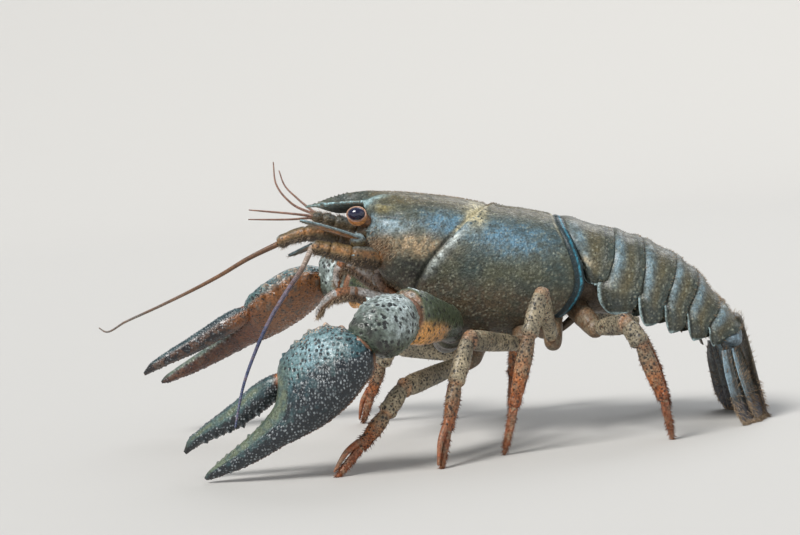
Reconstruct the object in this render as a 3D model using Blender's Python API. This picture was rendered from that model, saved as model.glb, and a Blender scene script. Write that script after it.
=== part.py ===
"""Noble crayfish, a still life-size model that stands on a flat floor.

Sizes are in millimetres and become metres when a mesh is made. The head points along -X,
the left side faces -Y, +Z is up and the floor is z = 0.
"""

import math

import bmesh
import bpy
import numpy as np
from mathutils import Matrix

MM = 0.001
GAP = 0.3
SEAM = GAP / 2

# Where the middle of the bounding box stands in the frame that the sizes below use.
MIDDLE = np.array([3.67, -5.9, 0.0])

# The head and thorax share one tilted frame: t runs back along the shell from the top of the
# cervical groove and h runs up, square to t.
GROOVE_TOP = np.array([20.0, 0.0, 50.5])
SHELL_PITCH = math.radians(10.5)

# Rows of t, height of the back line, half width, level of the widest point.
SHELL_ROWS = (
    (-27.0, -2.0, 6.4, -8.6),
    (-24.5, -0.4, 8.6, -9.0),
    (-20.0, 0.3, 10.6, -9.8),
    (-14.0, 0.5, 12.0, -11.0),
    (-7.0, 0.5, 13.1, -12.0),
    (0.0, 0.0, 13.9, -12.8),
    (8.0, -0.1, 14.7, -13.2),
    (15.0, -0.7, 14.5, -13.2),
    (22.0, -2.2, 13.2, -12.6),
)
HEAD_FLOOR_ROWS = ((-27.0, -13.6), (-24.0, -17.0), (-20.0, -19.6), (-14.0, -21.4), (-8.0, -22.2))
THORAX_FLOOR_ROWS = (
    (-14.0, -25.0),
    (-9.7, -28.2),
    (-4.0, -29.1),
    (1.3, -29.1),
    (6.0, -28.4),
    (12.0, -26.4),
    (19.2, -22.6),
    (22.0, -20.5),
)
# Edges as rows of h and t, from the top down.
FACE_EDGE = ((0.0, -26.6), (-5.0, -26.6), (-10.0, -25.4), (-14.3, -23.7), (-18.8, -20.4), (-23.0, -16.8))
GROOVE_EDGE = (
    (0.6, 0.2),
    (0.0, 0.0),
    (-1.2, -1.8),
    (-6.6, -7.0),
    (-10.6, -9.8),
    (-13.3, -11.6),
    (-15.7, -12.6),
    (-18.3, -13.6),
    (-21.5, -13.8),
    (-24.5, -12.4),
    (-27.4, -9.9),
    (-29.2, -7.0),
)
REAR_EDGE = (
    (0.0, 16.2),
    (-1.0, 16.3),
    (-5.6, 18.6),
    (-10.3, 20.8),
    (-14.6, 21.8),
    (-18.0, 21.0),
    (-21.0, 19.4),
    (-25.6, 14.0),
)

# Rostrum: rows of t, half width, edge level, crest level.
ROSTRUM_ROWS = (
    (-20.0, 4.2, -1.6, 0.2),
    (-24.0, 4.7, -2.2, 0.0),
    (-27.0, 4.0, -2.6, -0.3),
    (-30.0, 3.2, -3.0, -1.0),
    (-33.0, 2.6, -3.6, -2.1),
    (-35.6, 2.1, -4.2, -3.3),
    (-37.0, 1.1, -4.6, -4.1),
    (-39.4, 0.35, -5.2, -4.9),
)
ROSTRUM_THICKNESS = 1.5
CREST_TEETH = 4
# Spines of the head as foot and tip (t, y, h) and radius, for both sides: beside the beak's point,
# two ridges behind the eye, and the corner under it. Then (t, y, h) of those behind the groove.
HEAD_SPINES = (
    ((-34.6, 1.6, -4.2), (-37.0, 2.7, -3.9), 0.6),
    ((-20.2, 7.2, -3.9), (-24.4, 7.5, -3.0), 1.1),
    ((-15.0, 8.4, -3.9), (-18.0, 8.9, -2.9), 1.0),
    ((-24.0, 8.3, -8.5), (-26.9, 9.0, -8.3), 0.7),
)
SHOULDER_SPINES = ((-8.4, 12.4, -9.4), (-7.2, 12.1, -7.2), (-10.6, 12.9, -12.0), (-11.4, 13.0, -14.4))

# Abdomen: the seams between the bands, front to rear, as the point on the back line (x, z), the
# point at the hinge on the flank (x, z) and the half width there.
BAND_SEAMS = (
    ((34.6, 47.0), (37.4, 38.4), 11.2),
    ((45.8, 43.3), (44.3, 33.8), 12.4),
    ((52.2, 41.1), (50.9, 30.4), 12.8),
    ((59.2, 37.1), (56.0, 27.8), 12.5),
    ((64.0, 33.0), (60.4, 25.4), 11.9),
    ((68.4, 26.8), (64.8, 21.8), 10.9),
    ((72.9, 20.9), (69.9, 19.0), 9.0),
)
# Each side lobe: x of its front and rear edge at its middle, and its tip (x, z).
LOBES = (
    ((38.4, 42.6), (40.8, 32.2)),
    ((41.4, 49.9), (45.5, 25.4)),
    ((49.9, 55.4), (51.7, 22.5)),
    ((55.4, 60.2), (56.7, 20.6)),
    ((60.2, 64.8), (61.6, 18.6)),
    ((64.8, 68.4), (65.9, 17.0)),
)
PLEURON_THICKNESS = 1.1
BELLY_DEPTHS = (1.4, 2.0, 2.0, 2.0, 2.0, 1.4)
BAND_GAP = 0.6

# Under the belly: swimmerets on the second to fifth band as distances from the middle line, and
# the male's rods on the first as (x, y, z, radius).
SWIMMERET_BANDS = (1, 2, 3, 4)
SWIMMERET_STEM = 2.6
SWIMMERET_LEAF = 3.4
SWIMMERET_SIDES = (3.9, 6.1)
ROD = (
    (41.2, 1.3, 33.8, 0.9),
    (40.2, 1.3, 29.5, 0.85),
    (38.2, 1.2, 25.6, 0.8),
    (34.4, 1.1, 22.3, 0.7),
    (30.8, 1.0, 20.8, 0.5),
)

# Tail fan: the telson and the two blades of each uropod as root, tip, half width, thickness and
# the direction across the blade.
TELSON = dict(root=(72.2, 0.0, 22.4), tip=(77.0, 0.0, -0.4), half=5.6, thick=1.5, across=(0.0, -1.0, 0.0))
TELSON_OUTLINE = ((0.0, 0.85), (0.2, 1.0), (0.5, 0.98), (0.68, 0.9), (0.9, 0.8), (1.0, 0.55))
INNER_BLADE = dict(root=(70.6, 6.4, 16.1), tip=(75.0, 7.2, 0.4), half=3.8, thick=0.8, across=(-0.2, 1, 0))
OUTER_BLADE = dict(root=(68.6, 8.8, 15.9), tip=(71.8, 11.4, -0.3), half=3.9, thick=0.9, across=(-0.5, 1, 0))
BLADE_OUTLINE = ((0.0, 0.55), (0.2, 0.86), (0.5, 1.0), (0.8, 0.92), (0.93, 0.7), (1.0, 0.38))
UROPOD_FOOT = ((70.3, 6.0, 20.6), (69.9, 7.1, 18.7), (69.6, 8.0, 17.2))
UROPOD_CLEAR = (0.25, 0.0, -0.35)

EYE = dict(centre=(-8.4, 8.0, 50.1), root=(-4.0, 4.4, 47.6), radius=2.15, stalk=1.6)

# Walking legs as joints in order: root in the thorax, hip and knee, then wrist, heel and toe.
LEGS = {
    "leg_2_left": (
        ((17.2, -4.6, 24.5), (13.9, -12.6, 18.2), (-1.3, -34.0, 15.6)),
        ((-4.9, -38.0, 11.2), (-10.4, -41.5, 5.2), (-15.6, -44.0, -0.2)),
    ),
    "leg_3_left": (
        ((25.6, -4.6, 25.0), (24.8, -14.0, 20.8), (12.8, -32.0, 24.4)),
        ((9.6, -36.6, 16.2), (7.2, -40.2, 7.0), (5.4, -42.6, -0.2)),
    ),
    "leg_4_left": (
        ((32.0, -4.6, 26.0), (31.3, -14.0, 20.8), (28.6, -27.0, 32.4)),
        ((25.4, -30.4, 24.2), (21.2, -31.4, 9.6), (18.6, -30.6, -0.2)),
    ),
    "leg_5_left": (
        ((36.4, -4.6, 28.0), (40.4, -13.6, 23.0), (46.0, -25.6, 24.8)),
        ((48.6, -27.2, 20.4), (52.6, -26.6, 8.4), (54.0, -25.6, -0.2)),
    ),
    "leg_2_right": (
        ((17.2, 4.6, 24.5), (14.3, 13.0, 16.0), (-3.1, 24.0, 18.4)),
        ((-5.9, 26.2, 14.2), (-8.8, 29.0, 6.6), (-11.2, 30.8, -0.2)),
    ),
    "leg_3_right": (
        ((25.6, 4.6, 25.0), (24.4, 13.6, 19.6), (14.6, 26.0, 23.0)),
        ((12.4, 27.6, 16.2), (10.4, 27.8, 6.6), (9.6, 27.0, -0.2)),
    ),
    "leg_4_right": (
        ((32.0, 4.6, 26.0), (31.2, 13.6, 20.6), (28.8, 26.6, 28.0)),
        ((26.8, 28.6, 21.6), (24.2, 28.8, 8.6), (23.2, 28.0, -0.2)),
    ),
    "leg_5_right": (
        ((36.4, 4.6, 28.0), (40.4, 13.2, 23.0), (49.6, 22.0, 23.4)),
        ((52.6, 23.2, 19.0), (57.6, 22.8, 7.8), (59.4, 22.0, -0.2)),
    ),
}
KNEE = 2
# Rows of joint number, share of the way to the next joint, half height and half width.
LEG_SHAPE = (
    (0, 0.0, 2.5, 2.3),
    (0, 0.7, 2.3, 2.1),
    (1, 0.0, 1.9, 1.8),
    (1, 0.14, 1.7, 1.5),
    (1, 0.3, 1.8, 1.4),
    (1, 0.65, 2.1, 1.5),
    (1, 0.94, 2.0, 1.5),
    (2, 0.0, 1.8, 1.4),
    (2, 0.25, 1.85, 1.5),
    (2, 0.8, 1.85, 1.5),
    (3, 0.0, 1.5, 1.25),
    (3, 0.2, 1.6, 1.3),
    (3, 0.7, 1.4, 1.05),
    (4, 0.0, 1.1, 0.9),
    (4, 0.4, 0.85, 0.7),
    (4, 0.8, 0.6, 0.5),
    (4, 1.0, 0.4, 0.4),
)
PINCER_LEGS = ("leg_2", "leg_3")

# Great claws. The arm is one path from the thorax to the wrist: joints with half height and width.
ARM_LEFT = (
    (9.6, -4.6, 27.0, 3.2, 3.0),
    (8.8, -9.5, 22.8, 3.2, 3.0),
    (9.6, -14.0, 24.4, 3.0, 2.8),
    (9.6, -18.0, 26.6, 3.4, 2.8),
    (6.2, -25.0, 28.2, 4.6, 3.4),
    (2.8, -32.0, 29.6, 5.6, 4.0),
    (0.2, -37.0, 30.6, 5.2, 4.0),
)
CARPUS_LEFT = (
    (0.2, -37.0, 30.6, 4.6, 3.8),
    (-2.2, -40.4, 29.8, 5.9, 4.9),
    (-5.0, -43.4, 28.8, 6.1, 5.3),
    (-7.4, -45.4, 27.4, 4.6, 4.2),
)
PALM_JOINT_LEFT = np.array([-8.6, -46.0, 26.3])
CLAW_TIP_LEFT = np.array([-41.6, -40.0, 0.5])
CLAW_ACROSS_LEFT = np.array([-8.4, 10.0, 12.1])
ARM_RIGHT = (
    (9.6, 4.6, 27.0, 3.2, 3.0),
    (9.0, 9.5, 21.8, 3.2, 3.0),
    (8.0, 14.5, 23.8, 3.0, 2.8),
    (5.4, 17.6, 25.8, 3.4, 2.8),
    (-0.8, 22.0, 28.6, 4.6, 3.4),
    (-6.6, 26.2, 31.4, 5.6, 4.0),
    (-10.2, 28.8, 33.0, 5.2, 4.0),
)
CARPUS_RIGHT = (
    (-10.2, 28.8, 33.0, 4.6, 3.8),
    (-12.6, 31.0, 34.2, 5.9, 4.9),
    (-15.0, 32.6, 34.8, 6.0, 5.2),
    (-16.8, 33.6, 34.4, 4.6, 4.2),
)
PALM_JOINT_RIGHT = np.array([-17.9, 34.0, 34.6])
CLAW_TIP_RIGHT = np.array([-57.6, 38.0, 12.0])
CLAW_ACROSS_RIGHT = np.array([-0.30, -0.79, 0.50])
CLAW_LENGTH = 42.7
# Rows along the claw: distance from the wrist, outer edge, inner edge, half thickness.
PALM_ROWS = (
    (-0.9, -3.0, 1.8, 2.4),
    (0.8, -5.3, 5.0, 3.8),
    (4.8, -6.8, 8.9, 4.8),
    (9.5, -7.7, 9.7, 5.2),
    (14.0, -7.8, 9.4, 4.9),
    (17.0, -7.4, 7.9, 4.4),
    (19.0, -7.0, 4.9, 3.7),
    (21.1, -6.5, 2.8, 3.0),
    (25.1, -5.4, 1.4, 2.6),
    (30.0, -4.4, 0.9, 2.3),
    (34.7, -3.2, 1.0, 1.9),
    (39.0, -1.6, 1.1, 1.4),
    (42.0, -0.4, 1.0, 0.8),
    (42.9, 0.1, 0.7, 0.3),
)
DACTYL_ROWS = (
    (16.6, 4.4, 7.2, 1.5),
    (20.0, 4.0, 8.4, 2.5),
    (23.0, 3.8, 9.0, 2.6),
    (27.0, 4.2, 9.1, 2.4),
    (31.0, 4.6, 9.4, 2.1),
    (35.0, 5.9, 9.75, 1.8),
    (39.0, 7.2, 9.95, 1.4),
    (41.5, 7.7, 9.9, 1.1),
    (43.8, 7.8, 8.6, 0.4),
)

# Feelers as (x, y, z, radius) along their length.
ANTENNA_LEFT = (
    (-18.4, -9.0, 44.2, 1.0),
    (-20.8, -13.5, 39.9, 0.85),
    (-23.4, -19.5, 36.6, 0.75),
    (-27.0, -30.0, 31.6, 0.65),
    (-30.0, -40.0, 26.0, 0.55),
    (-32.6, -48.0, 19.4, 0.45),
    (-34.2, -53.0, 12.6, 0.32),
)
ANTENNA_RIGHT = (
    (-26.6, 8.2, 44.4, 1.0),
    (-33.4, 9.6, 41.6, 0.8),
    (-40.2, 12.0, 38.1, 0.7),
    (-54.8, 18.0, 31.7, 0.5),
    (-63.4, 22.0, 28.3, 0.4),
    (-68.7, 26.0, 26.0, 0.3),
    (-70.3, 28.0, 26.8, 0.25),
)
PEDUNCLE_LEFT = (
    (-4.6, -7.4, 40.2, 2.4),
    (-7.6, -8.8, 41.2, 2.5),
    (-10.4, -9.2, 42.0, 2.1),
    (-13.6, -9.1, 43.0, 1.9),
    (-16.6, -9.0, 43.8, 1.6),
    (-18.2, -9.0, 44.2, 1.35),
)
PEDUNCLE_RIGHT = (
    (-4.6, 7.4, 40.2, 2.4),
    (-7.6, 8.4, 42.0, 2.5),
    (-11.6, 8.2, 44.6, 2.1),
    (-17.0, 7.4, 46.2, 1.9),
    (-22.4, 7.6, 46.0, 1.6),
    (-26.2, 8.1, 44.6, 1.35),
)
ANTENNULE_STALK = (
    (-8.6, 2.6, 47.4, 1.5),
    (-12.6, 2.9, 48.6, 1.4),
    (-16.2, 3.0, 49.8, 1.1),
    (-18.0, 3.0, 50.4, 0.9),
)
ANTENNULE_LEFT_WHIPS = (
    ((-17.4, -3.2, 50.4, 0.6), (-22.0, -3.8, 51.3, 0.45), (-28.0, -4.6, 52.3, 0.35), (-31.6, -5.2, 52.9, 0.25)),
    ((-17.4, -2.8, 50.2, 0.55), (-22.0, -4.6, 50.2, 0.4), (-27.6, -6.6, 50.6, 0.32), (-31.6, -8.4, 51.0, 0.25)),
)
ANTENNULE_RIGHT_WHIPS = (
    ((-17.4, 3.2, 50.4, 0.6), (-22.6, 3.8, 53.2, 0.45), (-25.8, 4.6, 57.6, 0.35), (-26.2, 6.0, 62.6, 0.25)),
    ((-17.4, 3.6, 50.6, 0.55), (-21.4, 5.4, 54.2, 0.4), (-24.2, 7.2, 57.4, 0.32), (-25.2, 8.4, 60.6, 0.25)),
)
SCALE_LEFT = dict(root=(-8.2, -9.6, 45.3), tip=(-20.6, -9.4, 50.0), half=2.4, thick=0.8, across=(0.25, 1, -0.35))
SCALE_RIGHT = dict(root=(-9.4, 9.6, 47.0), tip=(-24.6, 10.6, 41.6), half=2.4, thick=0.8, across=(-0.2, -1, 0.25))
MAXILLIPED_LEFT = (
    (-2.6, -5.4, 31.0, 1.9, 1.5),
    (-5.6, -6.6, 31.6, 1.9, 1.4),
    (-9.4, -7.6, 33.2, 1.7, 1.3),
    (-12.2, -8.6, 33.8, 1.4, 1.3),
    (-14.8, -9.4, 33.2, 1.3, 1.1),
    (-17.0, -9.8, 31.6, 0.9, 0.8),
    (-18.6, -9.8, 29.2, 0.45, 0.45),
)
MAXILLIPED_RIGHT = (
    (-3.0, 4.8, 32.4, 1.9, 1.5),
    (-6.2, 5.2, 35.0, 1.9, 1.4),
    (-9.4, 5.6, 37.6, 1.7, 1.3),
    (-12.0, 5.9, 39.2, 1.5, 1.3),
    (-13.4, 5.9, 37.8, 1.3, 1.1),
    (-14.0, 5.7, 36.0, 0.9, 0.8),
    (-14.0, 5.5, 34.0, 0.45, 0.45),
)
MAXILLIPED_SPLIT = 3

# Colours are linear RGB.
SHELL = dict(colour=(0.075, 0.082, 0.052), roughness=0.42)
TAIL = dict(colour=(0.085, 0.088, 0.070), roughness=0.45)
CLAW = dict(colour=(0.045, 0.085, 0.085), roughness=0.45)
LIMB = dict(colour=(0.32, 0.21, 0.11), roughness=0.5)
FEELER = dict(colour=(0.26, 0.13, 0.06), roughness=0.5)
EYE_BLACK = dict(colour=(0.006, 0.008, 0.022), roughness=0.12)


def clear_scene():
    for thing in list(bpy.data.objects):
        bpy.data.objects.remove(thing, do_unlink=True)


def new_collection(name):
    collection = bpy.data.collections.new(name)
    bpy.context.scene.collection.children.link(collection)
    return collection


def through(x, rows):
    """Smooth curve through rows of (x, value, ...): cubic Hermite pieces, flat past both ends."""
    rows = np.asarray(rows, float)
    if rows[0, 0] > rows[-1, 0]:
        rows = rows[::-1]
    knots = rows[:, 0]
    values = rows[:, 1:]
    slopes = np.gradient(values, knots, axis=0)
    x = np.clip(np.asarray(x, float), knots[0], knots[-1])
    i = np.clip(np.searchsorted(knots, x, side="right") - 1, 0, len(knots) - 2)
    step = (knots[i + 1] - knots[i])[..., None]
    s = (x - knots[i])[..., None] / step
    result = (
        (1 + 2 * s) * (1 - s) ** 2 * values[i]
        + s * (1 - s) ** 2 * step * slopes[i]
        + s**2 * (3 - 2 * s) * values[i + 1]
        + s**2 * (s - 1) * step * slopes[i + 1]
    )
    return result[..., 0] if values.shape[1] == 1 else result


def unit(vector):
    vector = np.asarray(vector, float)
    return vector / np.linalg.norm(vector, axis=-1, keepdims=True)


def mirrored(rows):
    """The same points on the other side of the animal: the second number of each row changes sign."""
    rows = np.array(rows, float)
    rows[..., 1] = -rows[..., 1]
    return rows


def make_mesh_object(name, points, faces, finish, collection):
    """A closed mesh from millimetre points, with its faces turned outwards."""
    mesh = bpy.data.meshes.new(name)
    placed = (np.asarray(points, float).reshape(-1, 3) - MIDDLE) * MM
    mesh.from_pydata(placed.tolist(), [], faces)
    mesh.validate()
    work = bmesh.new()
    work.from_mesh(mesh)
    bmesh.ops.recalc_face_normals(work, faces=work.faces)
    work.to_mesh(mesh)
    work.free()
    mesh.shade_smooth()
    part = bpy.data.objects.new(name, mesh)
    collection.objects.link(part)
    if finish:
        give_material(part, finish)
    return part


def give_material(part, finish):
    material = bpy.data.materials.new(part.name)
    material.use_nodes = True
    shader = material.node_tree.nodes["Principled BSDF"]
    shader.inputs["Base Color"].default_value = (*finish["colour"], 1.0)
    shader.inputs["Roughness"].default_value = finish["roughness"]
    shader.inputs["Metallic"].default_value = 0.0
    part.data.materials.clear()
    part.data.materials.append(material)


def loft(name, rings, finish, collection):
    """A skin of quads over closed rings of points, each end closed by a fan to its middle point."""
    rings = np.asarray(rings, float)
    count, sides, _ = rings.shape
    middles = rings[[0, -1]].mean(axis=1)
    points = np.concatenate([rings.reshape(-1, 3), middles])
    faces = []
    for ring in range(count - 1):
        for side in range(sides):
            a = ring * sides + side
            b = ring * sides + (side + 1) % sides
            faces.append((a, b, b + sides, a + sides))
    for side in range(sides):
        after = (side + 1) % sides
        faces.append((count * sides, after, side))
        last = (count - 1) * sides
        faces.append((count * sides + 1, last + side, last + after))
    return make_mesh_object(name, points, faces, finish, collection)


def slab(name, outer, inner, finish, collection):
    """The solid between two grids of points that face one another, alike in rows and columns."""
    outer = np.asarray(outer, float)
    inner = np.asarray(inner, float)
    rows, columns, _ = outer.shape
    size = rows * columns
    faces = []
    for row in range(rows - 1):
        for column in range(columns - 1):
            a = row * columns + column
            quad = (a, a + 1, a + columns + 1, a + columns)
            for shape in (quad[:3], (quad[0], quad[2], quad[3])):
                faces.append(shape)
                faces.append(tuple(size + corner for corner in reversed(shape)))
    rim = [column for column in range(columns)]
    rim += [row * columns + columns - 1 for row in range(1, rows)]
    rim += [(rows - 1) * columns + column for column in range(columns - 2, -1, -1)]
    rim += [row * columns for row in range(rows - 2, 0, -1)]
    for here, after in zip(rim, rim[1:] + rim[:1]):
        faces.append((after, here, size + here, size + after))
    points = np.concatenate([outer.reshape(-1, 3), inner.reshape(-1, 3)])
    return make_mesh_object(name, points, faces, finish, collection)


def circle(sides, power=2.0):
    """Points round a superellipse of half sizes 1: (side, top) of each, from the top round."""
    angle = 2 * math.pi * np.arange(sides) / sides
    across = np.sign(np.sin(angle)) * np.abs(np.sin(angle)) ** (2 / power)
    up = np.sign(np.cos(angle)) * np.abs(np.cos(angle)) ** (2 / power)
    return across, up


def rings_along(path, heights, widths, sides, first=None, last=None):
    """Rings square to a path, their top towards +Z; the end rings may face given directions."""
    path = np.asarray(path, float)
    tangents = unit(np.gradient(path, axis=0))
    steps = unit(np.diff(path, axis=0))
    tangents[1:-1] = unit(steps[1:] + steps[:-1])
    tangents[0] = unit(first) if first is not None else steps[0]
    tangents[-1] = unit(last) if last is not None else steps[-1]
    side = unit(np.cross(tangents, (0.0, 0.0, 1.0)))
    top = np.cross(side, tangents)
    across, up = circle(sides)
    rings = (
        path[:, None, :]
        + side[:, None, :] * across[None, :, None] * np.asarray(widths)[:, None, None]
        + top[:, None, :] * up[None, :, None] * np.asarray(heights)[:, None, None]
    )
    return rings, tangents


def parted(rings, tangents, index):
    """The rings before and after a thin cut at one ring, with the seam between."""
    before = rings[: index + 1].copy()
    after = rings[index:].copy()
    before[-1] = before[-1] - tangents[index] * SEAM
    after[0] = after[0] + tangents[index] * SEAM
    return before, after


def cone(base, tip, radius, collection, sides=5):
    """A spine or tubercle: a pointed cone from its sunk base to its tip."""
    base = np.asarray(base, float)
    tip = np.asarray(tip, float)
    axis = unit(tip - base)
    side = unit(np.cross(axis, (0.31, 0.87, 0.39)))
    top = np.cross(side, axis)
    across, up = circle(sides)
    ring = base + radius * (across[:, None] * side + up[:, None] * top)
    points = np.concatenate([ring, [tip]])
    faces = [tuple(range(sides))]
    faces += [(number, (number + 1) % sides, sides) for number in range(sides)]
    return make_mesh_object("spine", points, faces, None, collection)


def whip(name, rows, spacing, finish, collection):
    """A tapering round feeler: a bevelled curve through rows of (x, y, z, radius), made a mesh."""
    rows = np.asarray(rows, float)
    reach = np.concatenate([[0.0], np.cumsum(np.linalg.norm(np.diff(rows[:, :3], axis=0), axis=1))])
    count = max(4, int(round(reach[-1] / spacing)) + 1)
    samples = through(np.linspace(0.0, reach[-1], count), np.column_stack([reach, rows]))
    curve = bpy.data.curves.new(name, "CURVE")
    curve.dimensions = "3D"
    curve.bevel_depth = MM
    curve.bevel_resolution = 1
    curve.use_fill_caps = True
    spline = curve.splines.new("POLY")
    spline.points.add(count - 1)
    placed = (samples[:, :3] - MIDDLE) * MM
    spline.points.foreach_set("co", np.column_stack([placed, np.ones(count)]).ravel())
    spline.points.foreach_set("radius", samples[:, 3])
    guide = bpy.data.objects.new(name + "_guide", curve)
    collection.objects.link(guide)
    bpy.context.view_layer.update()
    evaluated = guide.evaluated_get(bpy.context.evaluated_depsgraph_get())
    mesh = bpy.data.meshes.new_from_object(evaluated)
    work = bmesh.new()
    work.from_mesh(mesh)
    bmesh.ops.remove_doubles(work, verts=work.verts, dist=1e-6)
    bmesh.ops.recalc_face_normals(work, faces=work.faces)
    work.to_mesh(mesh)
    work.free()
    part = bpy.data.objects.new(name, mesh)
    part.matrix_world = guide.matrix_world
    collection.objects.link(part)
    bpy.data.objects.remove(guide, do_unlink=True)
    if finish:
        give_material(part, finish)
    return part


def apply_modifiers(part):
    bpy.context.view_layer.update()
    evaluated = part.evaluated_get(bpy.context.evaluated_depsgraph_get())
    mesh = bpy.data.meshes.new_from_object(evaluated)
    part.modifiers.clear()
    part.data = mesh


def keep_largest_surface(part):
    """Only the largest closed surface of a fused node stays."""
    work = bmesh.new()
    work.from_mesh(part.data)
    waiting = set(work.verts)
    groups = []
    while waiting:
        front = [waiting.pop()]
        group = list(front)
        while front:
            for edge in front.pop().link_edges:
                for vert in edge.verts:
                    if vert in waiting:
                        waiting.remove(vert)
                        front.append(vert)
                        group.append(vert)
        groups.append(group)
    groups.sort(key=len)
    for group in groups[:-1]:
        bmesh.ops.delete(work, geom=group, context="VERTS")
    work.to_mesh(part.data)
    work.free()


def fuse(part, pieces, solver="EXACT"):
    """One Boolean union of a node with its spines and other small forms."""
    union = part.modifiers.new("Union", "BOOLEAN")
    union.operation = "UNION"
    union.solver = solver
    union.operand_type = "COLLECTION"
    union.collection = bpy.data.collections["pieces"]
    apply_modifiers(part)
    for piece in pieces:
        bpy.data.objects.remove(piece, do_unlink=True)
    keep_largest_surface(part)


def carve(part, cutter):
    """Cuts a node back from its neighbour, whose swollen copy is the cutter.

    A swollen copy can fold over itself in a narrow place, where the exact solver empties the node.
    """
    cut = part.modifiers.new("Clear", "BOOLEAN")
    cut.operation = "DIFFERENCE"
    cut.solver = "MANIFOLD"
    cut.object = cutter
    apply_modifiers(part)
    keep_largest_surface(part)


def swollen(part, cutters, by=GAP):
    """A copy of a node grown outwards by the gap, used to cut its neighbours."""
    copy = bpy.data.objects.new(part.name + "_cutter", part.data.copy())
    copy.matrix_world = part.matrix_world
    cutters.objects.link(copy)
    copy.hide_render = True
    copy.display_type = "WIRE"
    work = bmesh.new()
    work.from_mesh(copy.data)
    work.normal_update()
    for vert in work.verts:
        vert.co += vert.normal * by * MM * vert.calc_shell_factor()
    work.to_mesh(copy.data)
    work.free()
    return copy


def stand_on_floor(part):
    """Cuts off what reaches below the floor and closes the cut with a flat."""
    work = bmesh.new()
    work.from_mesh(part.data)
    geometry = work.verts[:] + work.edges[:] + work.faces[:]
    floor = dict(plane_co=(0, 0, 0), plane_no=(0, 0, 1), clear_inner=True)
    cut = bmesh.ops.bisect_plane(work, geom=geometry, dist=1e-7, **floor)
    edges = [item for item in cut["geom_cut"] if isinstance(item, bmesh.types.BMEdge)]
    bmesh.ops.holes_fill(work, edges=edges, sides=0)
    bmesh.ops.triangulate(work, faces=[face for face in work.faces if len(face.verts) > 4])
    bmesh.ops.recalc_face_normals(work, faces=work.faces)
    work.to_mesh(part.data)
    work.free()


def shell_to_world(t, y, h):
    """Points of the tilted head and thorax frame in the whole animal's frame."""
    t, y, h = np.broadcast_arrays(t, y, h)
    cosine = math.cos(SHELL_PITCH)
    sine = math.sin(SHELL_PITCH)
    return np.stack([t * cosine + h * sine, y, h * cosine - t * sine], axis=-1) + GROOVE_TOP


def shell_rings(front_edge, back_edge, floor_rows, rings, sides, insets=(0.35, 0.7)):
    """Rings of the carapace between two curved edges, with both ends closed by smaller rings.

    A point at angle a has half width w |sin a|^(2/n) and height m + (top - m)(cos a)^(2/n).
    """
    angle = 2 * math.pi * np.arange(sides) / sides
    share = np.linspace(0.0, 1.0, rings)[:, None]
    sine = np.sin(angle)[None, :]
    cosine = np.cos(angle)[None, :]
    power = np.where(cosine >= 0, 2.25, 2.8)
    across = np.sign(sine) * np.abs(sine) ** (2 / power)
    up = np.sign(cosine) * np.abs(cosine) ** (2 / power)
    h = -12.0 + 12.0 * up + 0 * share
    for _ in range(12):
        t = (1 - share) * through(h, front_edge) + share * through(h, back_edge)
        top, half, widest = np.moveaxis(through(t, SHELL_ROWS), -1, 0)
        low = through(t, floor_rows)
        h = np.where(up >= 0, widest + (top - widest) * up, widest + (widest - low) * up)
    y = half * across
    grid = [(t, y, h)]
    for end, edge in ((0, front_edge), (-1, back_edge)):
        middle = h[end].mean()
        for inset in insets:
            small_h = middle + (h[end] - middle) * (1 - inset)
            small = (through(small_h, edge), y[end] * (1 - inset), small_h)
            place = 0 if end == 0 else len(grid)
            grid.insert(place, tuple(row[None, :] for row in small))
    return shell_to_world(*(np.concatenate([item[k] for item in grid]) for k in range(3)))


def edge_moved(edge, by):
    return tuple((h, t + by) for h, t in edge)


def build_head(parts, pieces, cutters):
    rings = shell_rings(FACE_EDGE, edge_moved(GROOVE_EDGE, -SEAM), HEAD_FLOOR_ROWS, 9, 26)
    head = loft("head", rings, SHELL, parts)
    cutter = swollen(head, cutters)
    added = [build_rostrum(pieces)]
    for side in (-1, 1):
        for foot, tip, radius in HEAD_SPINES:
            foot = shell_to_world(foot[0], side * foot[1], foot[2])
            tip = shell_to_world(tip[0], side * tip[1], tip[2])
            added.append(cone(foot, tip, radius, pieces))
    for number in range(CREST_TEETH):
        t = -31.2 - 1.7 * number
        crest = through(t, ROSTRUM_ROWS)[2]
        foot = shell_to_world(t + 0.6, 0, crest - 0.5)
        added.append(cone(foot, shell_to_world(t - 0.6, 0, crest + 0.55), 0.5, pieces))
    fuse(head, added)
    return cutter


def build_rostrum(pieces):
    """The beak between the eyes: raised edges, a trough each side and a toothed crest."""
    t = np.array([row[0] for row in ROSTRUM_ROWS])[:, None]
    half, edge, crest = (np.array([row[k] for row in ROSTRUM_ROWS])[:, None] for k in (1, 2, 3))
    share = np.array([-1.0, -0.82, -0.45, 0.0, 0.45, 0.82, 1.0])[None, :]
    crest_share = np.array([0.0, 0.28, -0.05, 1.0, -0.05, 0.28, 0.0])[None, :]
    top = edge + (crest - edge) * crest_share
    depth = ROSTRUM_THICKNESS * (1 - 0.75 * np.abs(share) ** 1.5) * np.clip(half / 2.5, 0.35, 1.0)
    under = edge - depth
    outer = shell_to_world(t, half * share, top)
    inner = shell_to_world(t, half * share * 0.94, under)
    return slab("rostrum", outer, inner, None, pieces)


def build_thorax(parts, pieces, cutters):
    rings = shell_rings(edge_moved(GROOVE_EDGE, SEAM), REAR_EDGE, THORAX_FLOOR_ROWS, 9, 30)
    thorax = loft("thorax", rings, SHELL, parts)
    cutter = swollen(thorax, cutters)
    added = []
    for side in (-1, 1):
        for t, y, h in SHOULDER_SPINES:
            foot = shell_to_world(t + 1.2, side * (y - 0.9), h)
            added.append(cone(foot, shell_to_world(t - 0.4, side * (y + 1.2), h + 0.4), 0.7, pieces))
    fuse(thorax, added)
    return cutter


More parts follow.
